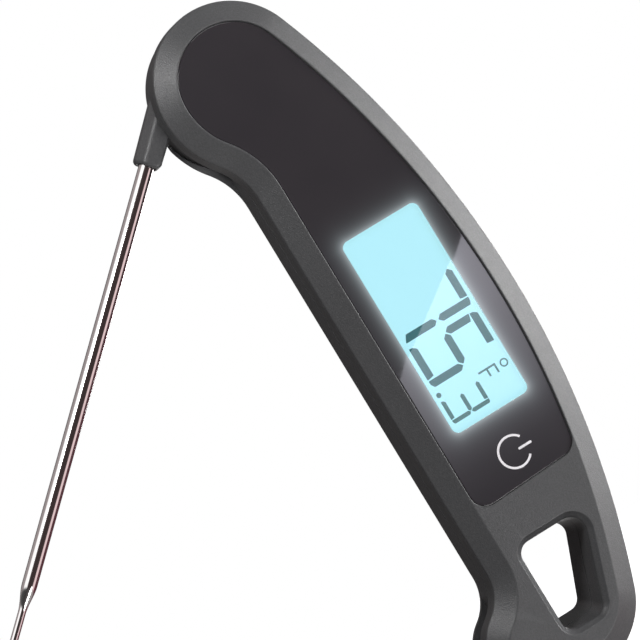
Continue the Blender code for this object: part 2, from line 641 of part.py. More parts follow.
part("sensor_bead", turned_z("bead", [(0, -126.2), (0.25, -126.1), (0.38, -125.7), (0.38, -124.3), (0.25, -123.9), (0, -123.8)],
                             PROBE_X, PROBE_D, 12), ((0.3, 0.25, 0.12), 0.5), PIVOT)
part("probe_leads", wire("leads", [(PROBE_X, PROBE_D, -123.5), (PROBE_X, PROBE_D, -60), (PROBE_X, PROBE_D, -12)]
                         + smooth_route([(PROBE_X, PROBE_D, -7), (-11.7, 11.0, -4.4), (-10.2, 11.1, -3.6), (-8.2, 11.9, -3.2),
                                         (-5.5, 13.4, -2.0), (-2.5, 14.3, -0.8), (-0.5, 14.3, 0), (0, 13.9, 0.1)], 1.0), 0.3),
     ((0.5, 0.08, 0.06), 0.5), PIVOT)

TOOLS_LEFT = [o.name for o in TOOLS.objects]
print("parts", len([o for o in PARTS.objects if o.type == "MESH"]), "tools left", TOOLS_LEFT)
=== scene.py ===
"""Looks for the folding-probe cooking thermometer: fine surfaces, materials, lights and camera.

Lengths are millimetres until P() turns them into the frame's metres: x across, d behind the
front face, z above the probe's pivot.  Shells carry their real fillets, the probe's pieces are
drawn folded and turned to their rest angle in their meshes, the steel stem by its object's matrix.
"""

import bpy
import bmesh
import json
from math import pi, sin, cos, tan, atan2, acos, radians, degrees, hypot, sqrt
from mathutils import Vector, Matrix

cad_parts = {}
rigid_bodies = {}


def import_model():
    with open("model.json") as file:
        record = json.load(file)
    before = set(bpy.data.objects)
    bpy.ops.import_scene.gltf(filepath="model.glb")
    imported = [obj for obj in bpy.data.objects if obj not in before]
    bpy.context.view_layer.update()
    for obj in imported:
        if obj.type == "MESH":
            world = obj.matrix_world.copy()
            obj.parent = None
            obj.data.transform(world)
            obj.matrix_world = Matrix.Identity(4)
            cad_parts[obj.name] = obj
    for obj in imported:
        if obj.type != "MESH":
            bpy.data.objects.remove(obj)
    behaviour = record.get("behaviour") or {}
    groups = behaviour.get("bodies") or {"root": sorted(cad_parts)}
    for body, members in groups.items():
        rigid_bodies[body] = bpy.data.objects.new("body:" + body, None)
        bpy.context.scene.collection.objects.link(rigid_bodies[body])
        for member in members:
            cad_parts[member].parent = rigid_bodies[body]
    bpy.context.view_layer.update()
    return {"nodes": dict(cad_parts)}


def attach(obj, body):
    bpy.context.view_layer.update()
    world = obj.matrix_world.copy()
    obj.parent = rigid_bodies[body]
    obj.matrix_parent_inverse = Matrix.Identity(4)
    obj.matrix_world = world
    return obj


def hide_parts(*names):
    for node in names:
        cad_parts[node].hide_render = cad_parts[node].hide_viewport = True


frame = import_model()

# ------------------------------------------------------------ shared dimensions
MM = 0.001
THICK, PIVOT_Z, REST_ANGLE = 18.0, 75.0, 47.3
HEAD_R = 17.4
APEX_X, APEX_Z = 30.2, -66.7
UPPER_R = (APEX_Z ** 2 + (APEX_X ** 2 - HEAD_R ** 2)) / (2.0 * (APEX_X - HEAD_R))
LOWER_R, TAIL_R, TAIL_DROP = 192.0, 17.0, 20.8
NOSE_X, NOSE_Z, NOSE_R = -7.2, -133.2, 10.5
STRAIGHT_X, HOOK_Z, HOOK_R, NECK_R = -8.66, -116.0, 10.38, 16.0
SHOULDER_X, SHOULDER_R = 4.1, 21.5
NECK_Z = -sqrt((SHOULDER_R + NECK_R) ** 2 - (SHOULDER_X - STRAIGHT_X + NECK_R) ** 2)
CHAMFER_IN, CHAMFER_D, REAR_IN, REAR_D = 4.6, 2.7, 3.2, 15.2
PART_F, PART_R, WALL = 7.8, 8.0, 2.0
PANEL_IN, PANEL_BOTTOM, PANEL_TILT, PANEL_CORNER = 4.95, -104.4, 2.3, 3.7
VIEW = (0.6, 19.7, -87.85, -41.1, 1.6)      # clear window: x0, x1, z0, z1, corner
LCD = (-1.6, 21.0, -89.2, -39.0)
TOUCH = (9.7, -97.2)
LIP = [(-1.62, -113.7), (17.86, -113.7), (9.46, -136.9), (-1.62, -136.9)]
LIP_R = [4.0, 4.6, 4.0, 3.6]
HUB_R, HUB_CLEAR = 16.8, 17.15
PROBE_X, PROBE_D, ARM_END, TUBE_R, TIP_R = -12.0, 11.0, -21.5, 1.65, 0.85
DOOR = (11.0, -52.0)
BOSSES = [(19.5, -27.0), (-2.6, -29.0), (21.5, -99.0), (-2.6, -106.0)]
MAGNETS = [(9.5, -29.0), (10.0, -103.0)]
Q = 3                                       # fineness of the outline

FOLDED = (Matrix.Translation((0, 0, PIVOT_Z * MM)) @ Matrix.Rotation(radians(REST_ANGLE), 4, "Y")
          @ Matrix.Translation((0, 0, -PIVOT_Z * MM)))
DRAW = bpy.context.scene.collection


def P(x, d, z):
    return Vector((x * MM, (d - THICK) * MM, (z + PIVOT_Z) * MM))


# ------------------------------------------------------------------ camera
FWD = Vector((0.2419, 0.9703, 0.0))
R0 = Vector((0.9703, -0.2419, 0.0))
UP = Vector((0, 0, 1))
RIGHT = 0.8547 * R0 - 0.5192 * UP
CAM_UP = 0.5192 * R0 + 0.8547 * UP
TARGET = Vector((-0.0109, -0.0153, 0.0227))
LENS = 280.0
DIST = 3.733 * LENS * MM
cam_data = bpy.data.cameras.new("camera")
cam_data.lens, cam_data.sensor_width = LENS, 36.0
cam_data.clip_start, cam_data.clip_end = 0.05, 20.0
cam = bpy.data.objects.new("camera", cam_data)
DRAW.objects.link(cam)
rot = Matrix((RIGHT.normalized(), CAM_UP.normalized(), -FWD.normalized())).transposed()
cam.matrix_world = Matrix.Translation(TARGET - FWD * DIST) @ rot.to_4x4()
bpy.context.scene.camera = cam


# ------------------------------------------------------------------ mesh helpers
def from_bmesh(name, bm):
    bmesh.ops.remove_doubles(bm, verts=bm.verts, dist=1e-7)
    bmesh.ops.recalc_face_normals(bm, faces=bm.faces)
    me = bpy.data.meshes.new(name)
    bm.to_mesh(me)
    bm.free()
    ob = bpy.data.objects.new(name, me)
    DRAW.objects.link(ob)
    return ob


def bake(ob):
    bpy.context.view_layer.update()
    me = bpy.data.meshes.new_from_object(ob.evaluated_get(bpy.context.evaluated_depsgraph_get()))
    ob.modifiers.clear()
    if ob.type == "MESH":
        ob.data = me
        return ob
    new = bpy.data.objects.new(ob.name, me)
    new.matrix_world = ob.matrix_world.copy()
    DRAW.objects.link(new)
    bpy.data.objects.remove(ob, do_unlink=True)
    return new


def loft(name, rings):
    bm = bmesh.new()
    rows = [[bm.verts.new(P(x, d, z)) for x, z in poly] for poly, d in rings]
    n = len(rows[0])
    for a, b in zip(rows, rows[1:]):
        for i in range(n):
            j = (i + 1) % n
            bm.faces.new((a[i], a[j], b[j], b[i]))
    bm.faces.new(rows[0])
    bm.faces.new(list(reversed(rows[-1])))
    bm.normal_update()
    return from_bmesh(name, bm)


def prism(name, poly, d0, d1):
    return loft(name, [(poly, d0), (poly, d1)])


def box(name, x0, x1, d0, d1, z0, z1, bevel=0.0, seg=2):
    bm = bmesh.new()
    bmesh.ops.create_cube(bm, size=1.0)
    bmesh.ops.scale(bm, vec=Vector(((x1 - x0) * MM, (d1 - d0) * MM, (z1 - z0) * MM)), verts=bm.verts)
    bmesh.ops.translate(bm, vec=P((x0 + x1) / 2, (d0 + d1) / 2, (z0 + z1) / 2), verts=bm.verts)
    if bevel:
        bmesh.ops.bevel(bm, geom=bm.edges[:], offset=bevel * MM, segments=seg, profile=0.5, affect="EDGES")
    return from_bmesh(name, bm)


def turned(name, profile, x, z, seg=96, closed=False):
    """Profile of (radius, depth) turned about the line parallel to Y through x, z."""
    bm = bmesh.new()
    rows = []
    for r, d in profile:
        if r < 1e-6:
            rows.append([bm.verts.new(P(x, d, z))])
        else:
            rows.append([bm.verts.new(P(x + r * cos(2 * pi * i / seg), d, z + r * sin(2 * pi * i / seg)))
                         for i in range(seg)])
    pairs = list(zip(rows, rows[1:])) + ([(rows[-1], rows[0])] if closed else [])
    for a, b in pairs:
        for i in range(seg):
            j = (i + 1) % seg
            if len(a) == 1 and len(b) == 1:
                continue
            if len(a) == 1:
                bm.faces.new((a[0], b[i], b[j]))
            elif len(b) == 1:
                bm.faces.new((a[i], a[j], b[0]))
            else:
                bm.faces.new((a[i], a[j], b[j], b[i]))
    if not closed:
        for row in (rows[0], rows[-1]):
            if len(row) > 1:
                bm.faces.new(row)
    return from_bmesh(name, bm)


def turned_z(name, profile, x, d, seg=64, closed=False):
    """Profile of (radius, z) turned about the vertical line through x at depth d."""
    ob = turned(name, profile, 0, 0, seg, closed)
    m = Matrix.Translation(P(x, d, 0)) @ Matrix.Rotation(pi / 2, 4, "X") @ Matrix.Translation(-P(0, 0, 0))
    ob.data.transform(m)
    return ob


def disc(name, x, z, r, d0, d1, seg=64):
    return turned(name, [(r, d0), (r, d1)], x, z, seg)


def ring(name, x, z, r0, r1, d0, d1, seg=64):
    return turned(name, [(r1, d0), (r1, d1), (r0, d1), (r0, d0)], x, z, seg, closed=True)


def soften(pts, radii, n=5, closed=False):
    """A line of points with its corners turned into arcs of the given radii."""
    out = []
    k = len(pts)
    for i, p in enumerate(pts):
        r = radii[i] if i < len(radii) else 0.0
        if (not closed and i in (0, k - 1)) or r <= 0:
            out.append(tuple(p))
            continue
        p = Vector(p)
        a, b = Vector(pts[i - 1]), Vector(pts[(i + 1) % k])
        ea, eb = (a - p), (b - p)
        la, lb = ea.length, eb.length
        ea.normalize()
        eb.normalize()
        half = acos(max(-1, min(1, ea.dot(eb)))) / 2
        t = min(r / tan(half), 0.49 * la, 0.49 * lb)
        rr = t * tan(half)
        c = p + (ea + eb).normalized() * (rr / sin(half))
        s, e = p + ea * t - c, p + eb * t - c
        a0, a1 = atan2(s.y, s.x), atan2(e.y, e.x)
        da = (a1 - a0 + pi) % (2 * pi) - pi
        for j in range(n + 1):
            q = a0 + da * j / n
            out.append((c.x + rr * cos(q), c.y + rr * sin(q)))
    return out


def tidy(ob):
    bm = bmesh.new()
    bm.from_mesh(ob.data)
    bmesh.ops.remove_doubles(bm, verts=bm.verts, dist=5e-7)
    bmesh.ops.dissolve_limit(bm, angle_limit=radians(0.1), verts=bm.verts, edges=bm.edges)
    bm.to_mesh(ob.data)
    bm.free()


def boolean(ob, tool, op):
    m = ob.modifiers.new(op, "BOOLEAN")
    m.object, m.operation, m.solver = tool, op, "EXACT"
    bake(ob)
    tidy(ob)
    bpy.data.objects.remove(tool, do_unlink=True)
    return ob


def cut(ob, *tools):
    for t in tools:
        boolean(ob, t, "DIFFERENCE")
    return ob


def join(ob, *tools):
    for t in tools:
        boolean(ob, t, "UNION")
    return ob


def keep(ob, tool):
    return boolean(ob, tool, "INTERSECT")


def fuse(name, *obs):
    """Several loose solids as one object, such as the marks of one print."""
    bm = bmesh.new()
    for o in obs:
        bm.from_mesh(o.data)
        bpy.data.objects.remove(o, do_unlink=True)
    return from_bmesh(name, bm)


def piece(ob, name, body, mat, nodes=(), folded=False, angle=32.0, weighted=True, own_axes=False):
    """Finish a piece: clean mesh, shading that keeps flats flat, material, body."""
    if folded and not own_axes:             # turned in the mesh, so its bounding box lies square to the frame
        ob.data.transform(FOLDED)
    bm = bmesh.new()
    bm.from_mesh(ob.data)
    bmesh.ops.remove_doubles(bm, verts=bm.verts, dist=1e-6)
    bmesh.ops.dissolve_degenerate(bm, edges=bm.edges, dist=1e-6)
    bmesh.ops.triangulate(bm, faces=[f for f in bm.faces if len(f.verts) > 4], quad_method="BEAUTY", ngon_method="BEAUTY")
    bmesh.ops.recalc_face_normals(bm, faces=bm.faces)
    bm.to_mesh(ob.data)
    bm.free()
    ob.name = name
    ob.data.name = name
    ob.data.shade_smooth()
    ob.data.set_sharp_from_angle(angle=radians(angle))
    if weighted:
        w = ob.modifiers.new("normals", "WEIGHTED_NORMAL")
        w.mode, w.weight, w.keep_sharp = "FACE_AREA", 80, True
        bake(ob)
    ob.data.materials.clear()
    ob.data.materials.append(mat)
    if folded and own_axes:                 # keeps its own axes, which the lines in its steel follow
        ob.matrix_world = FOLDED
    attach(ob, body)
    if nodes:
        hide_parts(*nodes)
    return ob


# ------------------------------------------------------------------ outlines
def arc(cx, cz, r, a0, a1, n):
    return [(cx + r * cos(radians(a0 + (a1 - a0) * i / n)),
             cz + r * sin(radians(a0 + (a1 - a0) * i / n))) for i in range(n + 1)]


C1 = (APEX_X - UPPER_R, APEX_Z)
C2 = (APEX_X - LOWER_R, APEX_Z)
HEAD_TO = degrees(atan2(-C1[1], -C1[0]))
C3 = (C2[0] + (LOWER_R - TAIL_R) * cos(radians(TAIL_DROP)),
      C2[1] - (LOWER_R - TAIL_R) * sin(radians(TAIL_DROP)))
_D = (NOSE_X - C3[0], NOSE_Z - C3[1])
TAIL_TO = degrees(atan2(_D[1], _D[0]) + acos((TAIL_R - NOSE_R) / hypot(*_D)))
if TAIL_TO > 0:
    TAIL_TO -= 360.0
C5 = (STRAIGHT_X - HOOK_R, HOOK_Z)
NOSE_TO = degrees(atan2(C5[1] - NOSE_Z, C5[0] - NOSE_X))
C6 = (STRAIGHT_X - NECK_R, NECK_Z)
NECK_TO = degrees(atan2(0 - C6[1], SHOULDER_X - C6[0]))


def left_side(o):
    return (arc(*C6, NECK_R + o, 0, NECK_TO, 6 * Q)
            + arc(SHOULDER_X, 0, SHOULDER_R - o, 180 + NECK_TO, 180, 6 * Q)[1:])


def outline(o=0.0):
    return (left_side(o)
            + arc(0, 0, HEAD_R - o, 180, HEAD_TO, 22 * Q)[1:]
            + arc(*C1, UPPER_R - o, HEAD_TO, 0, 8 * Q)[1:]
            + arc(*C2, LOWER_R - o, 0, -TAIL_DROP, 8 * Q)[1:]
            + arc(*C3, TAIL_R - o, -TAIL_DROP, TAIL_TO, 11 * Q)[1:]
            + arc(NOSE_X, NOSE_Z, NOSE_R - o, TAIL_TO + 360, NOSE_TO, 14 * Q)
            + arc(*C5, HOOK_R + o, NOSE_TO - 180, 0, 6 * Q)[1:])


def panel(o):
    """The panel: the outline inset by o, closed by a slanted, rounded bottom."""
    r = max(PANEL_CORNER - (o - PANEL_IN), 0.8)
    t = radians(PANEL_TILT)
    u, n = (cos(t), sin(t)), (-sin(t), cos(t))
    up = o - PANEL_IN
    p0 = (STRAIGHT_X + PANEL_IN - n[0] * 0, PANEL_BOTTOM + up / n[1])
    lx = STRAIGHT_X + o + r
    lz = p0[1] + (r - n[0] * (lx - p0[0])) / n[1]
    q = (p0[0] + r * n[0] - C2[0], p0[1] + r * n[1] - C2[1])
    b = q[0] * u[0] + q[1] * u[1]
    c = q[0] ** 2 + q[1] ** 2 - (LOWER_R - o - r) ** 2
    s = -b + sqrt(b * b - c)
    rx, rz = C2[0] + q[0] + s * u[0], C2[1] + q[1] + s * u[1]
    a = degrees(atan2(rz - C2[1], rx - C2[0]))
    return (left_side(o)
            + arc(0, 0, HEAD_R - o, 180, HEAD_TO, 22 * Q)[1:]
            + arc(*C1, UPPER_R - o, HEAD_TO, 0, 8 * Q)[1:]
            + arc(*C2, LOWER_R - o, 0, a, 5 * Q)[1:]
            + arc(rx, rz, r, a, -90 + PANEL_TILT, 6 * Q)[1:]
            + arc(lx, lz, r, 270 + PANEL_TILT, 180, 6 * Q))


def rounded(corners, radii, grow=0.0, n=14):
    """A polygon with rounded corners, grown outwards; corners run clockwise."""
    out = []
    k = len(corners)
    for i in range(k):
        p, a, b = Vector(corners[i]), Vector(corners[i - 1]), Vector(corners[(i + 1) % k])
        e0, e1 = (a - p).normalized(), (b - p).normalized()
        half = acos(max(-1, min(1, e0.dot(e1)))) / 2
        r = radii[i]
        centre = p + (e0 + e1).normalized() * (r / sin(half))
        n0 = Vector((e0.y, -e0.x))
        if n0.dot(p - centre) < 0:
            n0 = -n0
        n1 = Vector((e1.y, -e1.x))
        if n1.dot(p - centre) < 0:
            n1 = -n1
        t0, t1 = atan2(n0.y, n0.x), atan2(n1.y, n1.x)
        d = (t1 - t0 + pi) % (2 * pi) - pi
        rr = max(r + grow, 0.15)
        for j in range(n + 1):
            t = t0 + d * j / n
            out.append((centre.x + rr * cos(t), centre.y + rr * sin(t)))
    return out


def raise_bottom(poly, dz, z_from=-136.9, z_to=-113.7):
    return [(x, z + dz * max(0.0, min(1.0, (z_to - z) / (z_to - z_from)))) for x, z in poly]


def hang_cutter():
    lip = lambda g: rounded(LIP, LIP_R, g)
    front = [(0.30, -1.0), (0.30, 0.0), (0.16, 0.03), (0.04, 0.12), (-0.06, 0.27), (-0.30, 0.56), (-0.62, 0.88),
             (-0.88, 1.16), (-1.04, 1.42), (-1.1, 1.75)]
    back = [(-1.1, 16.9), (-1.04, 17.3), (-0.86, 17.62), (-0.6, 17.86), (-0.3, 18.0), (-0.3, 19.0)]
    rings = [(lip(g), d) for g, d in front]
    for i, (g, d) in enumerate(back):
        rings.append((raise_bottom(lip(g), 2.9), d))
    return loft("hang_cutter", rings)


def inside(o, d0, d1):
    return prism("inside", outline(o), d0, d1)


def inside_rear(o):
    return loft("inside_rear", [(outline(o), 6.5), (outline(o), 15.0), (outline(o + 2.4), 17.1)])


def sector(name, x, z, r0, r1, d0, d1, a0, a1, n=8):
    return prism(name, arc(x, z, r1, a1, a0, n) + arc(x, z, r0, a0, a1, n), d0, d1)


# ------------------------------------------------------------------ materials
class Tree:
    """Small helper to write node trees as expressions."""

    def __init__(self, name):
        self.m = bpy.data.materials.new(name)
        self.m.use_nodes = True
        self.t = self.m.node_tree
        self.b = self.t.nodes["Principled BSDF"]
        self.co = self.t.nodes.new("ShaderNodeTexCoord").outputs["Object"]

    def node(self, kind, **kw):
        n = self.t.nodes.new(kind)
        for k, v in kw.items():
            setattr(n, k, v)
        return n

    def link(self, a, b):
        self.t.links.new(a, b)

    def math(self, op, a, b=None, c=None):
        n = self.node("ShaderNodeMath", operation=op)
        for i, v in enumerate((a, b, c)):
            if v is None:
                continue
            if isinstance(v, (int, float)):
                n.inputs[i].default_value = v
            else:
                self.link(v, n.inputs[i])
        return n.outputs[0]

    def mapped(self, scale=(1, 1, 1), rot=(0, 0, 0), loc=(0, 0, 0)):
        n = self.node("ShaderNodeMapping")
        n.inputs["Scale"].default_value = scale
        n.inputs["Rotation"].default_value = rot
        n.inputs["Location"].default_value = loc
        self.link(self.co, n.inputs["Vector"])
        return n.outputs[0]

    def noise(self, scale, detail=2.0, rough=0.5, vector=None, distortion=0.0):
        n = self.node("ShaderNodeTexNoise")
        n.inputs["Scale"].default_value = scale
        n.inputs["Detail"].default_value = detail
        n.inputs["Roughness"].default_value = rough
        n.inputs["Distortion"].default_value = distortion
        self.link(vector or self.co, n.inputs["Vector"])
        return n.outputs["Fac"]

    def voronoi(self, scale, feature="F1", vector=None):
        n = self.node("ShaderNodeTexVoronoi", feature=feature)
        n.inputs["Scale"].default_value = scale
        self.link(vector or self.co, n.inputs["Vector"])
        return n.outputs["Distance"]

    def ramp(self, fac, stops):
        n = self.node("ShaderNodeValToRGB")
        e = n.color_ramp.elements
        while len(e) < len(stops):
            e.new(0.5)
        for k, (p, c) in zip(e, stops):
            k.position = p
            k.color = (*c, 1.0) if len(c) == 3 else c
        self.link(fac, n.inputs[0])
        return n.outputs["Color"]

    def span(self, fac, a, b, c, d):
        n = self.node("ShaderNodeMapRange")
        for i, v in zip((1, 2, 3, 4), (a, b, c, d)):
            n.inputs[i].default_value = v
        self.link(fac, n.inputs[0])
        return n.outputs[0]

    def bump(self, height, distance, strength=1.0, below=None):
        n = self.node("ShaderNodeBump")
        n.inputs["Distance"].default_value = distance
        n.inputs["Strength"].default_value = strength
        self.link(height, n.inputs["Height"])
        if below is not None:
            self.link(below, n.inputs["Normal"])
        return n.outputs[0]

    def set(self, **kw):
        for k, v in kw.items():
            s = self.b.inputs[k.replace("_", " ")]
            if hasattr(v, "default_value") or isinstance(v, bpy.types.NodeSocket):
                self.link(v, s)
            else:
                s.default_value = v
        return self


def shade(c, f):
    return tuple(max(0.0, min(1.0, v * f)) for v in c)


def plastic(name, rgb, rough=0.385, grain=1.0, edge_lift=0.35):
    """Moulded plastic with a spark-eroded grain, faint tone drift, and convex edges made lighter and glossier where
    pointiness is high.
    """
    t = Tree(name)
    coarse = t.noise(3700.0, 2.0, 0.6)
    fine = t.noise(7600.0, 1.0, 0.5)
    drift = t.noise(55.0, 2.0, 0.5)
    speck = t.noise(2400.0, 2.0, 0.6)
    tone = t.math("ADD", t.math("MULTIPLY", speck, 0.75), t.math("MULTIPLY", drift, 0.25))
    col = t.ramp(tone, [(0.33, shade(rgb, 0.86)), (0.5, rgb), (0.68, shade(rgb, 1.16))])
    # convex edges, found by pointiness, are mixed towards a lighter tone and a lower roughness
    edge = t.node("ShaderNodeNewGeometry").outputs["Pointiness"]
    edge_mask = t.span(edge, 0.53, 0.60, 0.0, edge_lift)
    mix = t.node("ShaderNodeMix", data_type="RGBA")
    t.link(edge_mask, mix.inputs["Factor"])
    t.link(col, mix.inputs["A"])
    mix.inputs["B"].default_value = (*shade(rgb, 1.5), 1.0)
    height = t.math("ADD", t.math("MULTIPLY", coarse, 0.75), t.math("MULTIPLY", fine, 0.25))
    r = t.math("ADD", t.span(coarse, 0.3, 0.7, rough - 0.08, rough + 0.07), t.math("MULTIPLY", edge_mask, -0.12))
    t.set(Base_Color=mix.outputs["Result"], Roughness=r, Normal=t.bump(height, 0.00009 * grain, 0.9))
    return t.m


def metal(name, rgb, rough=0.22, stretch=(1, 1, 1), scale=900.0, bump=0.000004, tint=0.12, spread=0.06):
    """Metal with fine lines along whichever axis has the small stretch."""
    t = Tree(name)
    v = t.mapped(stretch)
    lines = t.noise(scale, 3.0, 0.6, v)
    cloud = t.noise(60.0, 2.0, 0.5)
    col = t.ramp(t.math("ADD", t.math("MULTIPLY", lines, 0.6), t.math("MULTIPLY", cloud, 0.4)),
                 [(0.3, shade(rgb, 1.0 - tint)), (0.7, shade(rgb, 1.0 + tint))])
    t.set(Base_Color=col, Metallic=1.0, Roughness=t.span(lines, 0.25, 0.75, rough - spread, rough + spread),
          Normal=t.bump(lines, bump, 0.6))
    return t.m


def soft(name, rgb, rough=0.7, scale=1800.0, bump=0.00002, tint=0.25):
    """Rubber, film and other dull matter with a fine mottled surface."""
    t = Tree(name)
    a, b = t.noise(scale, 3.0, 0.6), t.noise(scale * 0.06, 2.0, 0.5)
    tone = t.math("ADD", t.math("MULTIPLY", a, 0.65), t.math("MULTIPLY", b, 0.35))
    col = t.ramp(tone, [(0.32, shade(rgb, 1.0 - tint)), (0.7, shade(rgb, 1.0 + tint))])
    t.set(Base_Color=col, Roughness=t.span(a, 0.3, 0.7, rough - 0.08, rough + 0.08), Normal=t.bump(a, bump, 0.7))
    return t.m


def window_distance(t):
    """Distance outside the clear window, in metres, on the panel."""
    xyz = t.node("ShaderNodeSeparateXYZ")
    t.link(t.co, xyz.inputs[0])
    x0, x1, z0, z1, r = VIEW
    cx, cz = (x0 + x1) / 2 * MM, ((z0 + z1) / 2 + PIVOT_Z) * MM
    hx, hz = ((x1 - x0) / 2 - r) * MM, ((z1 - z0) / 2 - r) * MM
    dx = t.math("MAXIMUM", t.math("SUBTRACT", t.math("ABSOLUTE", t.math("SUBTRACT", xyz.outputs[0], cx)), hx), 0.0)
    dz = t.math("MAXIMUM", t.math("SUBTRACT", t.math("ABSOLUTE", t.math("SUBTRACT", xyz.outputs[2], cz)), hz), 0.0)
    q = t.math("SQRT", t.math("ADD", t.math("MULTIPLY", dx, dx), t.math("MULTIPLY", dz, dz)))
    return t.math("SUBTRACT", q, r * MM)


def lens_material():
    """Smoked gloss panel with a painted glow round the window: its front face emits a halo, fading away from the
    window, that stands in for the display's light bleeding into it.
    """
    t = Tree("panel_gloss")
    d = window_distance(t)
    drift = t.noise(40.0, 2.0, 0.5)
    dust = t.noise(900.0, 3.0, 0.65)
    col = t.ramp(drift, [(0.3, (0.0360, 0.0325, 0.0370)), (0.7, (0.0430, 0.0385, 0.0430))])
    # painted glow: emission that fades with distance from the window, on the panel's front face only
    glow = t.math("ADD",
                  t.math("MULTIPLY", t.math("EXPONENT", t.math("MULTIPLY", d, -1.0 / 0.0007)), 0.22),
                  t.math("MULTIPLY", t.math("EXPONENT", t.math("MULTIPLY", d, -1.0 / 0.0018)), 0.15))
    depth = t.node("ShaderNodeSeparateXYZ")
    t.link(t.co, depth.inputs[0])
    glow = t.math("MULTIPLY", glow, t.math("LESS_THAN", depth.outputs[1], (0.34 - THICK) * MM))
    t.set(Base_Color=col, Roughness=t.span(dust, 0.3, 0.75, 0.012, 0.03), IOR=1.49,
          Normal=t.bump(t.noise(22.0, 1.0, 0.5), 0.000004, 0.4),
          Emission_Color=(0.80, 0.93, 0.97, 1.0), Emission_Strength=glow)
    return t.m


def pane_material():
    t = Tree("window_clear")
    v = t.noise(14.0, 1.0, 0.5)
    t.set(Base_Color=t.ramp(v, [(0.3, (0.985, 0.995, 1.0)), (0.7, (1.0, 1.0, 1.0))]), Roughness=t.span(v, 0, 1, 0.0, 0.015),
          IOR=1.45, Transmission_Weight=1.0)
    return t.m


def lcd_material():
    """Lit liquid-crystal glass: even cyan light, paler at its rim, with a faint cell pattern."""
    t = Tree("lcd_lit")
    d = window_distance(t)
    rim = t.span(d, -0.0021, -0.0002, 0.0, 1.0)
    cloud = t.noise(35.0, 2.0, 0.5)
    cells = t.node("ShaderNodeTexWave", wave_type="BANDS", bands_direction="Z")
    cells.inputs["Scale"].default_value = 1500.0
    cells.inputs["Distortion"].default_value = 0.4
    t.link(t.co, cells.inputs["Vector"])
    f = t.math("ADD", t.math("MULTIPLY", rim, 0.8), t.math("MULTIPLY", cloud, 0.2))
    col = t.ramp(f, [(0.1, (0.475, 0.885, 0.995)), (0.6, (0.47, 0.875, 0.97)), (1.0, (0.44, 0.82, 0.90))])
    strength = t.math("ADD", 1.03, t.math("MULTIPLY", cells.outputs["Fac"], 0.015))
    t.set(Base_Color=(0.02, 0.04, 0.045, 1.0), Roughness=0.25, Emission_Color=col, Emission_Strength=strength,
          Normal=t.bump(t.noise(1400.0, 2.0, 0.5), 0.000002, 0.3))
    return t.m


def ink_material(name, glow, strength, base=(0.01, 0.03, 0.035)):
    """Printed or switched marks: a flat tone with a slightly uneven edge-to-edge density, and an emission of the given
    colour and strength: the display's own light for switched segments, a painted glow for print.
    """
    t = Tree(name)
    v = t.noise(700.0, 3.0, 0.6)
    t.set(Base_Color=t.ramp(v, [(0.3, base), (0.7, shade(base, 1.25))]), Roughness=0.5,
          Emission_Color=t.ramp(v, [(0.3, shade(glow, 0.93)), (0.7, glow)]), Emission_Strength=strength)
    return t.m


def board_material():
    t = Tree("board_solder_mask")
    tracks = t.node("ShaderNodeTexBrick")
    tracks.inputs["Scale"].default_value = 420.0
    tracks.inputs["Mortar Size"].default_value = 0.06
    tracks.inputs["Color1"].default_value = (0.012, 0.115, 0.042, 1)
    tracks.inputs["Color2"].default_value = (0.009, 0.095, 0.034, 1)
    tracks.inputs["Mortar"].default_value = (0.03, 0.2, 0.07, 1)
    t.link(t.mapped((1, 1, 1), (pi / 2, 0, 0)), tracks.inputs["Vector"])
    v = t.noise(1200.0, 2.0, 0.5)
    t.set(Base_Color=tracks.outputs["Color"], Roughness=t.span(v, 0.3, 0.7, 0.28, 0.42),
          Normal=t.bump(tracks.outputs["Fac"], 0.00002, 0.5))
    return t.m


def guide_material():
    t = Tree("guide_acrylic")
    dots = t.voronoi(900.0)
    t.set(Base_Color=t.ramp(dots, [(0.2, (0.95, 0.97, 0.98)), (0.6, (0.75, 0.84, 0.87))]), Roughness=0.2,
          Transmission_Weight=0.25, Normal=t.bump(dots, 0.00002, 0.6),
          Emission_Color=(0.6, 0.93, 1.0, 1.0), Emission_Strength=0.25)
    return t.m


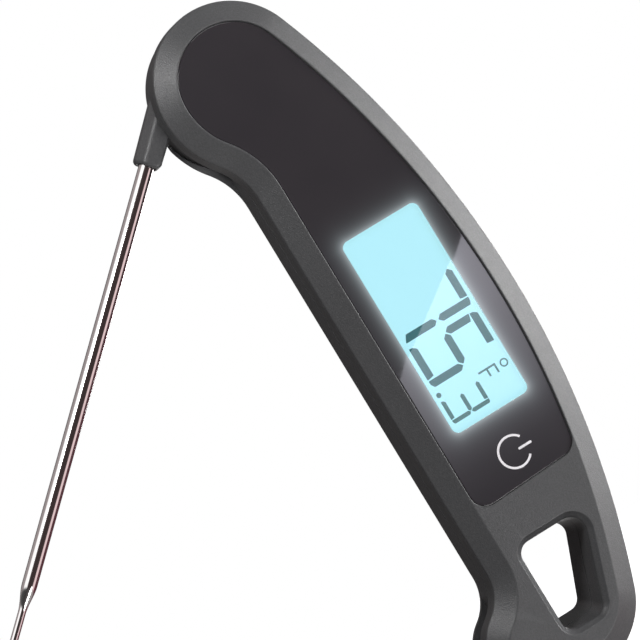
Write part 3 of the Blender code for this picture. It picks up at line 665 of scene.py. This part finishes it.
GREY = (0.083, 0.083, 0.086)
M = {
    "front": plastic("front_plastic", GREY),
    "rear": plastic("rear_plastic", GREY),
    "hub": plastic("hub_plastic", (0.086, 0.086, 0.089), 0.37),
    "cap": plastic("cap_plastic", (0.072, 0.072, 0.075), 0.40),
    "door": plastic("door_plastic", (0.060, 0.060, 0.063), 0.44),
    "lens": lens_material(), "pane": pane_material(), "lcd": lcd_material(),
    "digit": ink_material("segment_dark", (0.034, 0.135, 0.150), 1.0),
    "digit_small": ink_material("segment_small", (0.060, 0.170, 0.175), 1.0),
    # white print with a painted glow of its own, strength 0.45, on top of its white ink
    "print": ink_material("white_print", (0.50, 0.48, 0.50), 0.45, (0.62, 0.60, 0.62)),
    "tube": metal("tube_steel", (0.80, 0.775, 0.77), 0.085, (1, 1, 0.02), 700.0, 0.0000002, 0.04, 0.015),
    "steel": metal("steel_turned", (0.58, 0.57, 0.56), 0.28, (1, 0.05, 1), 1400.0),
    "spring": metal("spring_steel", (0.38, 0.37, 0.35), 0.3, (1, 0.3, 1), 1000.0),
    "brass": metal("contact_plate", (0.70, 0.60, 0.40), 0.25, (1, 0.2, 1), 900.0),
    "copper": metal("copper_pad", (0.80, 0.50, 0.26), 0.28, (1, 0.4, 0.2), 700.0),
    "cell": metal("cell_can", (0.64, 0.64, 0.62), 0.24, (1, 0.1, 1), 1100.0),
    "screw": metal("screw_black", (0.13, 0.13, 0.135), 0.34, (1, 0.2, 1), 1500.0, 0.000006, 0.2),
    "magnet": metal("magnet_plate", (0.62, 0.61, 0.58), 0.18, (1, 0.6, 1), 500.0),
    "rubber": soft("seal_rubber", (0.022, 0.022, 0.024), 0.62),
    "tape": soft("foam_tape", (0.02, 0.02, 0.02), 0.8, 2600.0, 0.00004),
    "zebra": soft("zebra_rubber", (0.30, 0.28, 0.27), 0.6, 3000.0),
    "white": plastic("tray_white", (0.68, 0.68, 0.66), 0.42, 0.6, 0.1),
    "chip": plastic("chip_epoxy", (0.018, 0.018, 0.02), 0.5, 0.5, 0.2),
    "led": soft("led_body", (0.80, 0.80, 0.70), 0.35, 1500.0, 0.000005, 0.08),
    "board": board_material(), "guide": guide_material(),
    "label": soft("label_film", (0.30, 0.30, 0.31), 0.38, 1400.0, 0.000006, 0.06),
    "bead": soft("bead_glass", (0.13, 0.05, 0.02), 0.2, 1500.0, 0.000003, 0.2),
    "cable": soft("cable_jacket", (0.24, 0.04, 0.03), 0.5, 1800.0, 0.00001, 0.15),
    "leads": soft("lead_varnish", (0.50, 0.44, 0.30), 0.45, 1800.0, 0.00001, 0.15),
}

# ------------------------------------------------------------------ front shell
profile = soften([(6.2, 0.0), (CHAMFER_IN, 0.0), (0.0, CHAMFER_D), (0.0, PART_F), (1.0, PART_F), (1.0, 7.0),
                  (WALL, 7.0), (WALL, 3.6)], [0, 0.9, 0.8, 0.10], 6)
front = loft("front", [(outline(o), d) for o, d in profile])
join(front, keep(box("hook_fill", -20, -2, 3.0, 6.9, -150, -116.8), inside(1.5, 2, 8)))
join(front, prism("hang_wall", rounded(LIP, LIP_R, 0.8), 2.8, PART_F))
for x, z in BOSSES:
    join(front, disc("boss", x, z, 2.5, 3.3, 8.9, 32))
cut(front,
    loft("recess", [(panel(o), d) for o, d in ((4.72, -1.0), (4.72, 0.0), (4.75, 0.03), (4.80, 0.09), (4.88, 0.17),
                                               (4.93, 0.26), (PANEL_IN, 0.36), (PANEL_IN, 2.4))]),
    box("window", LCD[0] - 0.3, LCD[1] + 0.3, 2.0, 4.0, LCD[2] - 0.3, LCD[3] + 0.3),
    disc("touch_hole", *TOUCH, 2.5, 2.0, 4.0, 32),
    hang_cutter())
for x, z in BOSSES:
    cut(front, disc("pilot", x, z, 1.25, 4.4, 9.5, 20))
piece(front, "front_shell", "body", M["front"], ["front_housing"])

# ------------------------------------------------------------------ rear shell
profile = soften([(3.6, 16.2), (WALL, 15.0), (WALL, PART_R), (0.0, PART_R), (0.0, REAR_D), (REAR_IN, THICK),
                  (5.2, THICK)], [0, 0, 0, 0.10, 1.4, 1.2], 6)
rear = loft("rear", [(outline(o), d) for o, d in profile])
join(rear,
     keep(disc("arc_wall", 0, 0, 18.9, 8.1, 17.0, 120), inside_rear(0.6)),
     keep(disc("deck", 0, 0, 18.3, 6.2, 8.6, 120), inside(2.3, 5, 9)),
     keep(box("slot_liner", -9.4, -6.9, 8.15, 16.6, -27, -11), inside_rear(0.7)),
     keep(box("hook_fill", -20, -2, 8.12, 16.9, -150, -116.8), inside_rear(0.65)),
     prism("hang_wall", rounded(LIP, LIP_R, 0.8), 8.05, 17.2))
for x, z in BOSSES:
    join(rear, disc("boss", x, z, 3.3, 9.2, 17.0, 36))
join(rear, ring("collar", *DOOR, 10.0, 14.8, 13.0, 17.0, 96))
for x, z in MAGNETS:
    join(rear, ring("magnet_seat", x, z, 5.2, 6.3, 14.0, 17.0, 48))
cut(rear,
    turned("hub_room", soften([(0, 7.8), (HUB_CLEAR, 7.8), (HUB_CLEAR, 15.3), (15.0, 17.55), (15.0, 20), (0, 20)],
                              [0, 0, 0.8, 0.4], 4), 0, 0, 180),
    box("head_open", -40, 40, 7.85, 20, -3, 40),
    box("horn_end", -40, -16.6, 7.85, 20, -30, 20),
    box("arm_slot", -40, -8.75, 7.85, 14.2, -26, 60),
    box("tip_slot", -40, -9.7, 7.85, 13.2, -132, -108),
    hang_cutter(),
    turned("door_opening", [(0, 12.0), (13.2, 12.0), (13.2, 17.6), (13.3, 17.82), (13.5, 18.0), (13.7, 18.1), (13.7, 20), (0, 20)], *DOOR, 128),
    disc("spindle_hole", 0, 0, 3.9, 5.0, 9.0, 40),
    box("label_recess", 1.0, 21.0, 17.5, 20, -92.0, -78.0))
for a in (30, 150, 270):
    join(rear, sector("tab", *DOOR, 12.3, 13.9, 14.6, 15.2, a - 18, a + 18))
for x, z in BOSSES:
    cut(rear, turned("screw_way", [(0, 8.5), (1.3, 8.5), (1.3, 14.5), (2.4, 14.5), (2.4, 17.7), (2.5, 17.9), (2.75, 18.1), (2.75, 20), (0, 20)],
                     x, z, 40))
piece(rear, "rear_shell", "body", M["rear"], ["rear_housing"])

# ------------------------------------------------------------------ panel, window and display
x0, x1, z0, z1, rr = VIEW
VIEW_CORNERS = [(x0, z1), (x1, z1), (x1, z0), (x0, z0)]
lens = loft("lens", [(panel(o), d) for o, d in ((5.24, 0.30), (5.14, 0.31), (5.07, 0.34), (5.02, 0.40), (5.0, 0.48), (5.0, 1.5))])
cut(lens, prism("view", rounded(VIEW_CORNERS, [rr] * 4, 0.0), -1.0, 3.0))
piece(lens, "lens_panel", "body", M["lens"], ["display_lens"])
pane = loft("pane", [(rounded(VIEW_CORNERS, [rr] * 4, g), d) for g, d in ((-0.06, 0.31), (-0.02, 0.33), (-0.02, 1.49))])
piece(pane, "lens_window", "body", M["pane"], ["display_lens"])
piece(box("lcd", LCD[0], LCD[1], 2.2, 3.3, LCD[2], LCD[3], 0.14, 3), "lcd_cell", "body", M["lcd"], ["lcd_glass"])


def bar(x0, z0, x1, z1, w, end0, end1, d0=2.12, d1=2.17):
    """One display segment w wide; each end gives how far its left, middle and right stand back."""
    a, b = Vector((x0, z0)), Vector((x1, z1))
    e = (b - a).normalized()
    n = Vector((-e.y, e.x))
    h = w / 2
    pts = [a + e * (k * w) + n * (side * h) for side, k in zip((-1, 0, 1), end0)]
    pts += [b - e * (k * w) + n * (side * h) for side, k in zip((1, 0, -1), reversed(end1))]
    return prism("bar", soften([tuple(p) for p in pts], [0.07 * w] * 6, 2, closed=True), d0, d1)


def digit(shape, xb, xt, zl, zr, w, gap):
    """A seven-segment figure: its foot at xb, top at xt, left side at zl, right side at zr."""
    xm = xb + 0.505 * (xt - xb)
    h = w / 2
    point, square, hook = (0.5, 0.0, 0.5), (0.12, 0.05, 0.0), (0.0, 0.05, 0.4)
    segs = {
        "a": (xt - h, zl - 0.1, xt - h, zr + w + gap, point if "f" not in shape else hook, square),
        "g": (xm, zl - 0.5 * w - gap, xm, zr + 0.5 * w + gap, point, point),
        "d": (xb + h, zl + 0.05, xb + h, zr + w + gap, (0.0, 0.05, 0.45), (0.0, 0.08, 0.2)),
        "b": (xt - 0.02, zr + h, xm + gap, zr + h, (0.0, 0.0, 0.22), point),
        "c": (xm - gap, zr + h, xb + 0.02, zr + h, point, (0.55, 0.25, 0.0) if "d" not in shape else (0.0, 0.05, 0.4)),
        "f": (xt - w - gap * 0.6, zl - h, xm + gap, zl - h, (0.0, 0.1, 0.25), point),
        "e": (xm - gap, zl - h, xb + w + gap, zl - h, point, (0.25, 0.1, 0.0)),
    }
    return [bar(*segs[s][:4], w, *segs[s][4:]) for s in shape]


big = digit("abc", 2.15, 19.05, -56.8, -66.0, 1.70, 0.24) + digit("afgcd", 2.0, 19.05, -67.4, -76.95, 1.70, 0.24)
piece(fuse("digits", *big), "lcd_figures", "body", M["digit"], weighted=False)
small = digit("abgcd", 1.95, 11.4, -80.35, -85.75, 0.92, 0.13)
small.append(disc("point", 2.4, -78.85, 0.56, 2.12, 2.17, 32))
small.append(ring("degree", 18.3, -80.1, 0.62, 0.94, 2.12, 2.17, 40))
for b in ((12.2, -79.35, 16.45, -79.35), (16.28, -79.5, 16.28, -81.3), (14.3, -79.5, 14.3, -81.15)):
    small.append(bar(*b, 0.42, (0, 0, 0), (0, 0, 0)))
piece(fuse("small", *small), "lcd_small_marks", "body", M["digit_small"], weighted=False)

# touch key mark: a plain open ring with a bar
mark = [prism("ring_mark", arc(*TOUCH, 3.75, 38, 322, 64) + arc(*TOUCH, 3.25, 322, 38, 64), 0.285, 0.315),
        prism("bar_mark", soften([(TOUCH[0] + 1.1, TOUCH[1] + 0.26), (TOUCH[0] + 4.4, TOUCH[1] + 0.26),
                                  (TOUCH[0] + 4.4, TOUCH[1] - 0.26), (TOUCH[0] + 1.1, TOUCH[1] - 0.26)],
                                 [0.25] * 4, 4, closed=True), 0.285, 0.315)]
piece(fuse("mark", *mark), "touch_mark", "body", M["print"], weighted=False)

# ------------------------------------------------------------------ hub, arm and probe (drawn folded)
hub = turned("hub", soften([(3.9, 8.1), (5.9, 8.1), (5.9, 9.25), (7.5, 9.25), (7.5, 8.1), (HUB_R, 8.1), (HUB_R, 15.2),
                            (HUB_R - 2.4, 17.8), (10.7, 17.8), (10.7, 16.3), (9.5, 16.3), (9.5, 11.0), (3.9, 11.0)],
                           [0, 0, 0, 0, 0, 1.25, 1.3, 1.0, 0.2], 7, closed=True), 0, 0, 200, closed=True)


def arm_section(i, left):
    return rounded([(-15.15 + left, -4.5), (-9.0 - i, -7.0), (-9.15 - i, ARM_END + i * 0.8), (-14.85 + left, ARM_END + i * 0.8)],
                   [0.5, 0.5, 1.15, 1.15], 0.0, 9)


edge = soften([(3.2, 8.15), (1.85, 8.15), (0.0, 10.6), (0.0, 12.0)], [0, 1.6, 1.2], 9)
rings = []
for left, d in edge[1:-1]:
    t = min(1.0, (d - 8.15) / 0.8)
    rings.append((arm_section(0.8 * (1 - sqrt(max(0.0, 1 - (1 - t) ** 2))), left), d))
for k in range(9):
    t = radians(90 * k / 8)
    rings.append((arm_section(1.0 - 1.0 * cos(t), 1.0 - 1.0 * cos(t)), 13.85 - 1.15 * (1 - sin(t))))
join(hub, loft("arm", rings))
cut(hub,
    disc("magnet_pocket", 8.8, -8.8, 2.45, 7.5, 10.6, 36),
    turned_z("socket", [(0, -30), (2.3, -30), (2.3, ARM_END - 0.02), (2.02, ARM_END + 0.3), (1.95, ARM_END + 0.6), (1.95, -9.6), (2.5, -9.2),
                        (2.5, -2.0), (0, -2.0)], PROBE_X, PROBE_D, 48),
    box("wire_way", -13.2, -8.0, 9.8, 12.2, -4.9, -2.5))
piece(hub, "hub_and_arm", "probe", M["hub"], ["probe_hub"], folded=True)

tube_profile = [(0.0, -127.0), (0.5, -126.6), (0.5, -114.3), (1.2, -111.3), (1.2, -9.0), (TUBE_R, -9.0)]
tube_profile += [(TUBE_R, -9.0 - (113.0 - 9.0) * k / 10) for k in range(1, 11)]
for k in range(0, 25):                      # ogee from the tube down to the tip
    t = k / 24
    s = t * t * (3 - 2 * t)
    tube_profile.append((TUBE_R + (TIP_R - TUBE_R) * s, -113.2 - 6.2 * t))
tube_profile += [(TIP_R, -121.0), (TIP_R, -127.6), (0.78, -128.2), (0.62, -128.62), (0.38, -128.9), (0.15, -128.99), (0.0, -129.0)]
piece(turned_z("tube", tube_profile, PROBE_X, PROBE_D, 72), "probe_stem", "probe", M["tube"], ["probe_tube"],
      folded=True, angle=40, own_axes=True)

cap = turned("cap", soften([(0, 16.55), (10.4, 16.55), (10.4, 17.8), (9.0, 17.8), (8.6, 17.62), (0.0, 17.62)],
                           [0, 0.2, 0.3, 0.2, 0.2], 4), 0, 0, 128)
piece(cap, "hub_cover", "probe", M["cap"], ["hub_cap"], folded=True)

# ------------------------------------------------------------------ battery door, screws and label
door = turned("door", soften([(0, 16.4), (10.4, 16.4), (10.4, 13.4), (11.6, 13.4), (11.6, 16.6), (12.9, 16.6), (12.9, 18.0), (0, 18.0)],
                             [0, 0, 0, 0, 0, 0, 0.35], 5), *DOOR, 128)
for a in (30, 150, 270):
    join(door, sector("lug", *DOOR, 11.0, 12.8, 13.6, 14.3, a - 16, a + 16))
slot_poly = soften([(DOOR[0] - 7, DOOR[1] - 0.9), (DOOR[0] + 7, DOOR[1] - 0.9), (DOOR[0] + 7, DOOR[1] + 0.9), (DOOR[0] - 7, DOOR[1] + 0.9)],
                   [0.88] * 4, 8, closed=True)
wide_poly = soften([(DOOR[0] - 7.15, DOOR[1] - 1.05), (DOOR[0] + 7.15, DOOR[1] - 1.05), (DOOR[0] + 7.15, DOOR[1] + 1.05),
                    (DOOR[0] - 7.15, DOOR[1] + 1.05)], [1.03] * 4, 8, closed=True)
cut(door, loft("coin_slot", [(slot_poly, 17.05), (slot_poly, 17.82), (wide_poly, 18.02), (wide_poly, 20.0)]))
piece(door, "door_cover", "door", M["door"], ["battery_door"])

for i, (x, z) in enumerate(BOSSES, 1):
    s = turned("screw", soften([(0, 4.7), (0.8, 4.7), (1.0, 5.0), (1.0, 14.75), (2.1, 14.75), (2.1, 15.85), (1.5, 16.3), (0, 16.3)],
                               [0, 0, 0, 0, 0.1, 0.35, 0.3], 4), x, z, 36)
    arms = []
    for w, h in ((1.15, 0.24), (0.24, 1.15)):
        top = [(x - w, z - h), (x + w, z - h), (x + w, z + h), (x - w, z + h)]
        low = [(x + (px - x) * 0.8, z + (pz - z) * 0.8) for px, pz in top]
        arms.append(loft("cross", [(low, 15.5), (top, 16.32), (top, 17.0)]))
    cut(s, *arms)
    piece(s, "case_screw_%d" % i, "body", M["screw"], ["housing_screw_%d" % i])

label = loft("label", [(rounded([(1.3, -78.3), (20.7, -78.3), (20.7, -91.7), (1.3, -91.7)], [1.2] * 4, g, 8), d)
                       for g, d in ((0, 17.7), (0, 17.9), (-0.05, 17.95))])
piece(label, "blank_label", "body", M["label"], ["rear_label"])

# ------------------------------------------------------------------ CAD pieces that keep their shape
KEPT = {
    "housing_gasket": "rubber", "lens_adhesive": "tape", "light_guide": "guide", "backlight_led": "led",
    "lcd_frame": "white", "zebra_strip": "zebra", "main_board": "board", "controller_chip": "chip",
    "motion_sensor": "chip", "hall_sensor": "chip", "touch_electrode": "copper", "touch_contact": "brass",
    "battery_tray": "white", "battery_cell": "cell", "battery_contact_positive": "brass",
    "battery_contact_negative": "brass", "magnet_upper": "magnet", "magnet_lower": "magnet", "pivot_spindle": "steel",
    "spindle_clip": "spring", "wave_washer": "spring", "sensor_cable": "cable", "hub_magnet": "magnet",
    "hub_oring": "rubber", "tube_anchor": "steel", "sensor_bead": "bead", "probe_leads": "leads", "door_oring": "rubber",
}
for node, mat in KEPT.items():
    ob = frame["nodes"][node]
    if not ob.data.materials:
        ob.data.materials.append(M[mat])
    for k in range(len(ob.material_slots)):
        ob.material_slots[k].material = M[mat]

# ------------------------------------------------------------------ floor, world and lights
bm = bmesh.new()
bmesh.ops.create_circle(bm, cap_ends=True, segments=96, radius=0.42)
bmesh.ops.translate(bm, vec=(-0.03, 0.0, -0.0722), verts=bm.verts)
floor = from_bmesh("floor", bm)
ft = Tree("floor_pale")
fv = ft.noise(30.0, 3.0, 0.5)
ft.set(Base_Color=ft.ramp(fv, [(0.3, (0.86, 0.86, 0.86)), (0.7, (0.89, 0.89, 0.89))]), Roughness=0.9,
       Emission_Color=(1, 1, 1, 1), Emission_Strength=0.84)
floor.data.materials.append(ft.m)
floor.visible_diffuse = floor.visible_glossy = floor.visible_transmission = floor.visible_shadow = False

world = bpy.data.worlds.new("studio")
bpy.context.scene.world = world
world.use_nodes = True
wt = world.node_tree
wt.nodes.clear()
out = wt.nodes.new("ShaderNodeOutputWorld")
path = wt.nodes.new("ShaderNodeLightPath")


def background(color, strength):
    n = wt.nodes.new("ShaderNodeBackground")
    if isinstance(color, bpy.types.NodeSocket):
        wt.links.new(color, n.inputs[0])
    else:
        n.inputs[0].default_value = (*color, 1.0)
    n.inputs[1].default_value = strength
    return n.outputs[0]


def wmath(op, a, b):
    n = wt.nodes.new("ShaderNodeMath")
    n.operation = op
    for i, v in enumerate((a, b)):
        if isinstance(v, (int, float)):
            n.inputs[i].default_value = v
        else:
            wt.links.new(v, n.inputs[i])
    return n.outputs[0]


def wrange(fac, a, b, c, d):
    n = wt.nodes.new("ShaderNodeMapRange")
    n.interpolation_type = "SMOOTHSTEP"
    for i, v in zip((1, 2, 3, 4), (a, b, c, d)):
        n.inputs[i].default_value = v
    wt.links.new(fac, n.inputs[0])
    return n.outputs[0]


def wmix(fac, a, b):
    n = wt.nodes.new("ShaderNodeMixShader")
    wt.links.new(fac, n.inputs[0])
    wt.links.new(a, n.inputs[1])
    wt.links.new(b, n.inputs[2])
    return n.outputs[0]


geo = wt.nodes.new("ShaderNodeTexCoord").outputs["Generated"]
sep = wt.nodes.new("ShaderNodeSeparateXYZ")
wt.links.new(geo, sep.inputs[0])
across = wmath("ADD", wmath("MULTIPLY", sep.outputs[0], 0.678), wmath("MULTIPLY", sep.outputs[2], -0.735))
along = wmath("ADD", wmath("MULTIPLY", sep.outputs[0], 0.735), wmath("MULTIPLY", sep.outputs[2], 0.678))
turn = wmath("DIVIDE", wmath("ARCTAN2", across, wmath("MULTIPLY", sep.outputs[1], -1.0)), 2 * pi)
turn = wmath("ADD", turn, 0.5)              # 0.5 is straight at the viewer's side, smaller is to the left
bands = wt.nodes.new("ShaderNodeValToRGB")
STOPS = [(-180, (0.04, 0.035, 0.035)), (-150, (0.10, 0.09, 0.09)), (-132, (0.36, 0.32, 0.32)), (-86, (0.40, 0.36, 0.36)),
         (-80, (1.25, 1.25, 1.25)), (-36, (1.25, 1.25, 1.25)), (-29, (0.06, 0.045, 0.045)), (0, (0.050, 0.036, 0.036)),
         (40, (0.055, 0.038, 0.038)), (45, (0.92, 0.71, 0.72)), (73, (0.92, 0.71, 0.72)), (79, (0.15, 0.045, 0.06)),
         (120, (0.11, 0.04, 0.05)), (180, (0.04, 0.035, 0.035))]
ee = bands.color_ramp.elements
while len(ee) < len(STOPS):
    ee.new(0.5)
for el, (deg, rgb) in zip(ee, STOPS):
    el.position = 0.5 + deg / 360.0
    el.color = (*(v * 0.8 for v in rgb), 1.0)
wt.links.new(turn, bands.inputs[0])
near = wrange(wmath("ABSOLUTE", wmath("SUBTRACT", along, 0.17), 0.0), 0.20, 0.32, 1.0, 0.0)
away = wt.nodes.new("ShaderNodeValToRGB")    # the pale table below, a dim room, a soft light above
AWAY = [(-1.0, (0.62, 0.61, 0.60)), (-0.55, (0.40, 0.39, 0.385)), (-0.15, (0.10, 0.09, 0.09)), (0.2, (0.05, 0.045, 0.045)),
        (0.6, (0.07, 0.07, 0.07)), (0.85, (0.30, 0.30, 0.30)), (1.0, (0.50, 0.50, 0.50))]
ae = away.color_ramp.elements
while len(ae) < len(AWAY):
    ae.new(0.5)
for el, (zz, rgb) in zip(ae, AWAY):
    el.position = (zz + 1.0) / 2.0
    el.color = (*rgb, 1.0)
wt.links.new(wmath("DIVIDE", wmath("ADD", sep.outputs[2], 1.0), 2.0), away.inputs[0])
side = wrange(sep.outputs[0], 0.25, 0.60, 0.0, 1.0)
around = wmix(side, background(away.outputs[0], 1.0), background((0.40, 0.39, 0.385), 1.0))
glossy = wmix(near, around, background(bands.outputs[0], 1.25))
rest = wmix(path.outputs["Is Glossy Ray"], background((1.0, 1.0, 1.0), 0.016), glossy)
wt.links.new(wmix(path.outputs["Is Camera Ray"], rest, background((1.0, 1.0, 1.0), 1.0)), out.inputs[0])


def lamp(name, towards, dist, sx, sy, power, color=(1, 1, 1), about=(0.0, -0.012, 0.0), long_axis=None, spread=None):
    """A rectangular softbox in the given direction, facing back at its subject."""
    data = bpy.data.lights.new(name, "AREA")
    data.shape, data.size, data.size_y = "RECTANGLE", sx, sy
    data.energy, data.color = power, color
    if spread:
        data.spread = radians(spread)
    ob = bpy.data.objects.new(name, data)
    DRAW.objects.link(ob)
    d = Vector(towards).normalized()
    z = d
    x = (Vector(long_axis) if long_axis else Vector((0, 0, 1)).cross(z))
    x = (x - z * x.dot(z)).normalized()
    y = z.cross(x)
    ob.matrix_world = Matrix.Translation(Vector(about) + d * dist) @ Matrix((x, y, z)).transposed().to_4x4()
    return ob


SWEEP = (0.678, 0.0, -0.735)                # across the open probe, in the picture's plane
lamp("front_top", (0.25, -0.77, 0.61), 0.90, 0.30, 0.30, 1.32)
lamp("low_front", (0.14, -0.83, -0.53), 0.90, 0.30, 0.30, 2.75, about=(0.0, -0.012, -0.02))
lamp("left_box", (-0.556, -0.643, 0.529), 0.28, 0.10, 0.07, 0.45, about=(-0.012, -0.016, 0.082), long_axis=SWEEP)
lamp("right_side", (0.9655, -0.30, 0.0), 0.42, 0.16, 0.27, 2.0, about=(0.03, -0.016, 0.012))
lamp("back_key", (0.62, 0.78, -0.06), 0.85, 0.40, 0.40, 4.4)
lamp("back_low", (0.10, 0.80, -0.60), 0.85, 0.30, 0.30, 0.8)

# a gloss-only softbox whose straight edge crosses the panel
yl = (0.30 - THICK) * MM
c = cam.matrix_world.translation
cm = Vector((c.x, 2 * yl - c.y, c.z))
A, B = Vector((25.4, -52.8)), Vector((-3.3, -70.4))
u2 = (A - B).normalized()
v2 = Vector((u2.y, -u2.x))
Wv, Wu = 46.0, 120.0
mid = (A + B) / 2 + v2 * (Wv / 2)
pm = P(mid.x, 0.30, mid.y)
ycard = -0.62
tt = (ycard - cm.y) / (pm.y - cm.y)
centre = cm + (pm - cm) * tt
gl = bpy.data.lights.new("panel_softbox", "AREA")
gl.shape, gl.size, gl.size_y = "RECTANGLE", Wu * MM * tt, Wv * MM * tt
gl.energy = 1.0
gl.use_nodes = True
lt = gl.node_tree
em = [n for n in lt.nodes if n.type == "EMISSION"][0]
par = lt.nodes.new("ShaderNodeNewGeometry").outputs["Parametric"]
ls = lt.nodes.new("ShaderNodeSeparateXYZ")
lt.links.new(par, ls.inputs[0])


def lmath(op, a, b):
    n = lt.nodes.new("ShaderNodeMath")
    n.operation = op
    for i, v in enumerate((a, b)):
        if isinstance(v, (int, float)):
            n.inputs[i].default_value = v
        else:
            lt.links.new(v, n.inputs[i])
    return n.outputs[0]


su = lmath("MULTIPLY", lmath("SUBTRACT", ls.outputs[0], 0.5), Wu * u2.y)
sv = lmath("MULTIPLY", lmath("SUBTRACT", ls.outputs[1], 0.5), -Wv * v2.y)
height = lmath("ADD", lmath("ADD", su, sv), mid.y)
fade = lt.nodes.new("ShaderNodeValToRGB")
FADE = [(-108, 0.0), (-101, 0.04), (-96, 0.08), (-91, 0.157), (-87, 0.27), (-84, 0.39), (-80, 0.485), (-76, 0.58), (-72, 0.66),
        (-69, 0.74), (-65, 0.86), (-62, 0.90), (-56, 1.0), (-40, 1.0)]
fe = fade.color_ramp.elements
while len(fe) < len(FADE):
    fe.new(0.5)
for el, (zz, k) in zip(fe, FADE):
    el.position = (zz + 110.0) / 75.0
    el.color = (k, k * 0.985, k * 1.11, 1.0)
lt.links.new(lmath("DIVIDE", lmath("ADD", height, 110.0), 75.0), fade.inputs[0])
lt.links.new(fade.outputs[0], em.inputs[0])
em.inputs[1].default_value = 0.215
gl_ob = bpy.data.objects.new("panel_softbox", gl)
DRAW.objects.link(gl_ob)
xa = Vector((u2.x, 0, u2.y))
za = Vector((0, -1, 0))
ya = za.cross(xa)
gl_ob.matrix_world = Matrix.Translation(centre) @ Matrix((xa, ya, za)).transposed().to_4x4()
gl_ob.visible_diffuse = False
gl_ob.visible_transmission = False
panel_only = bpy.data.collections.new("panel_only")
for n in ("lens_panel", "lens_window"):
    panel_only.objects.link(bpy.data.objects[n])
gl_ob.light_linking.receiver_collection = panel_only

bpy.context.scene.view_settings.view_transform = "Standard"
bpy.context.scene.view_settings.look = "None"

bpy.context.view_layer.update()
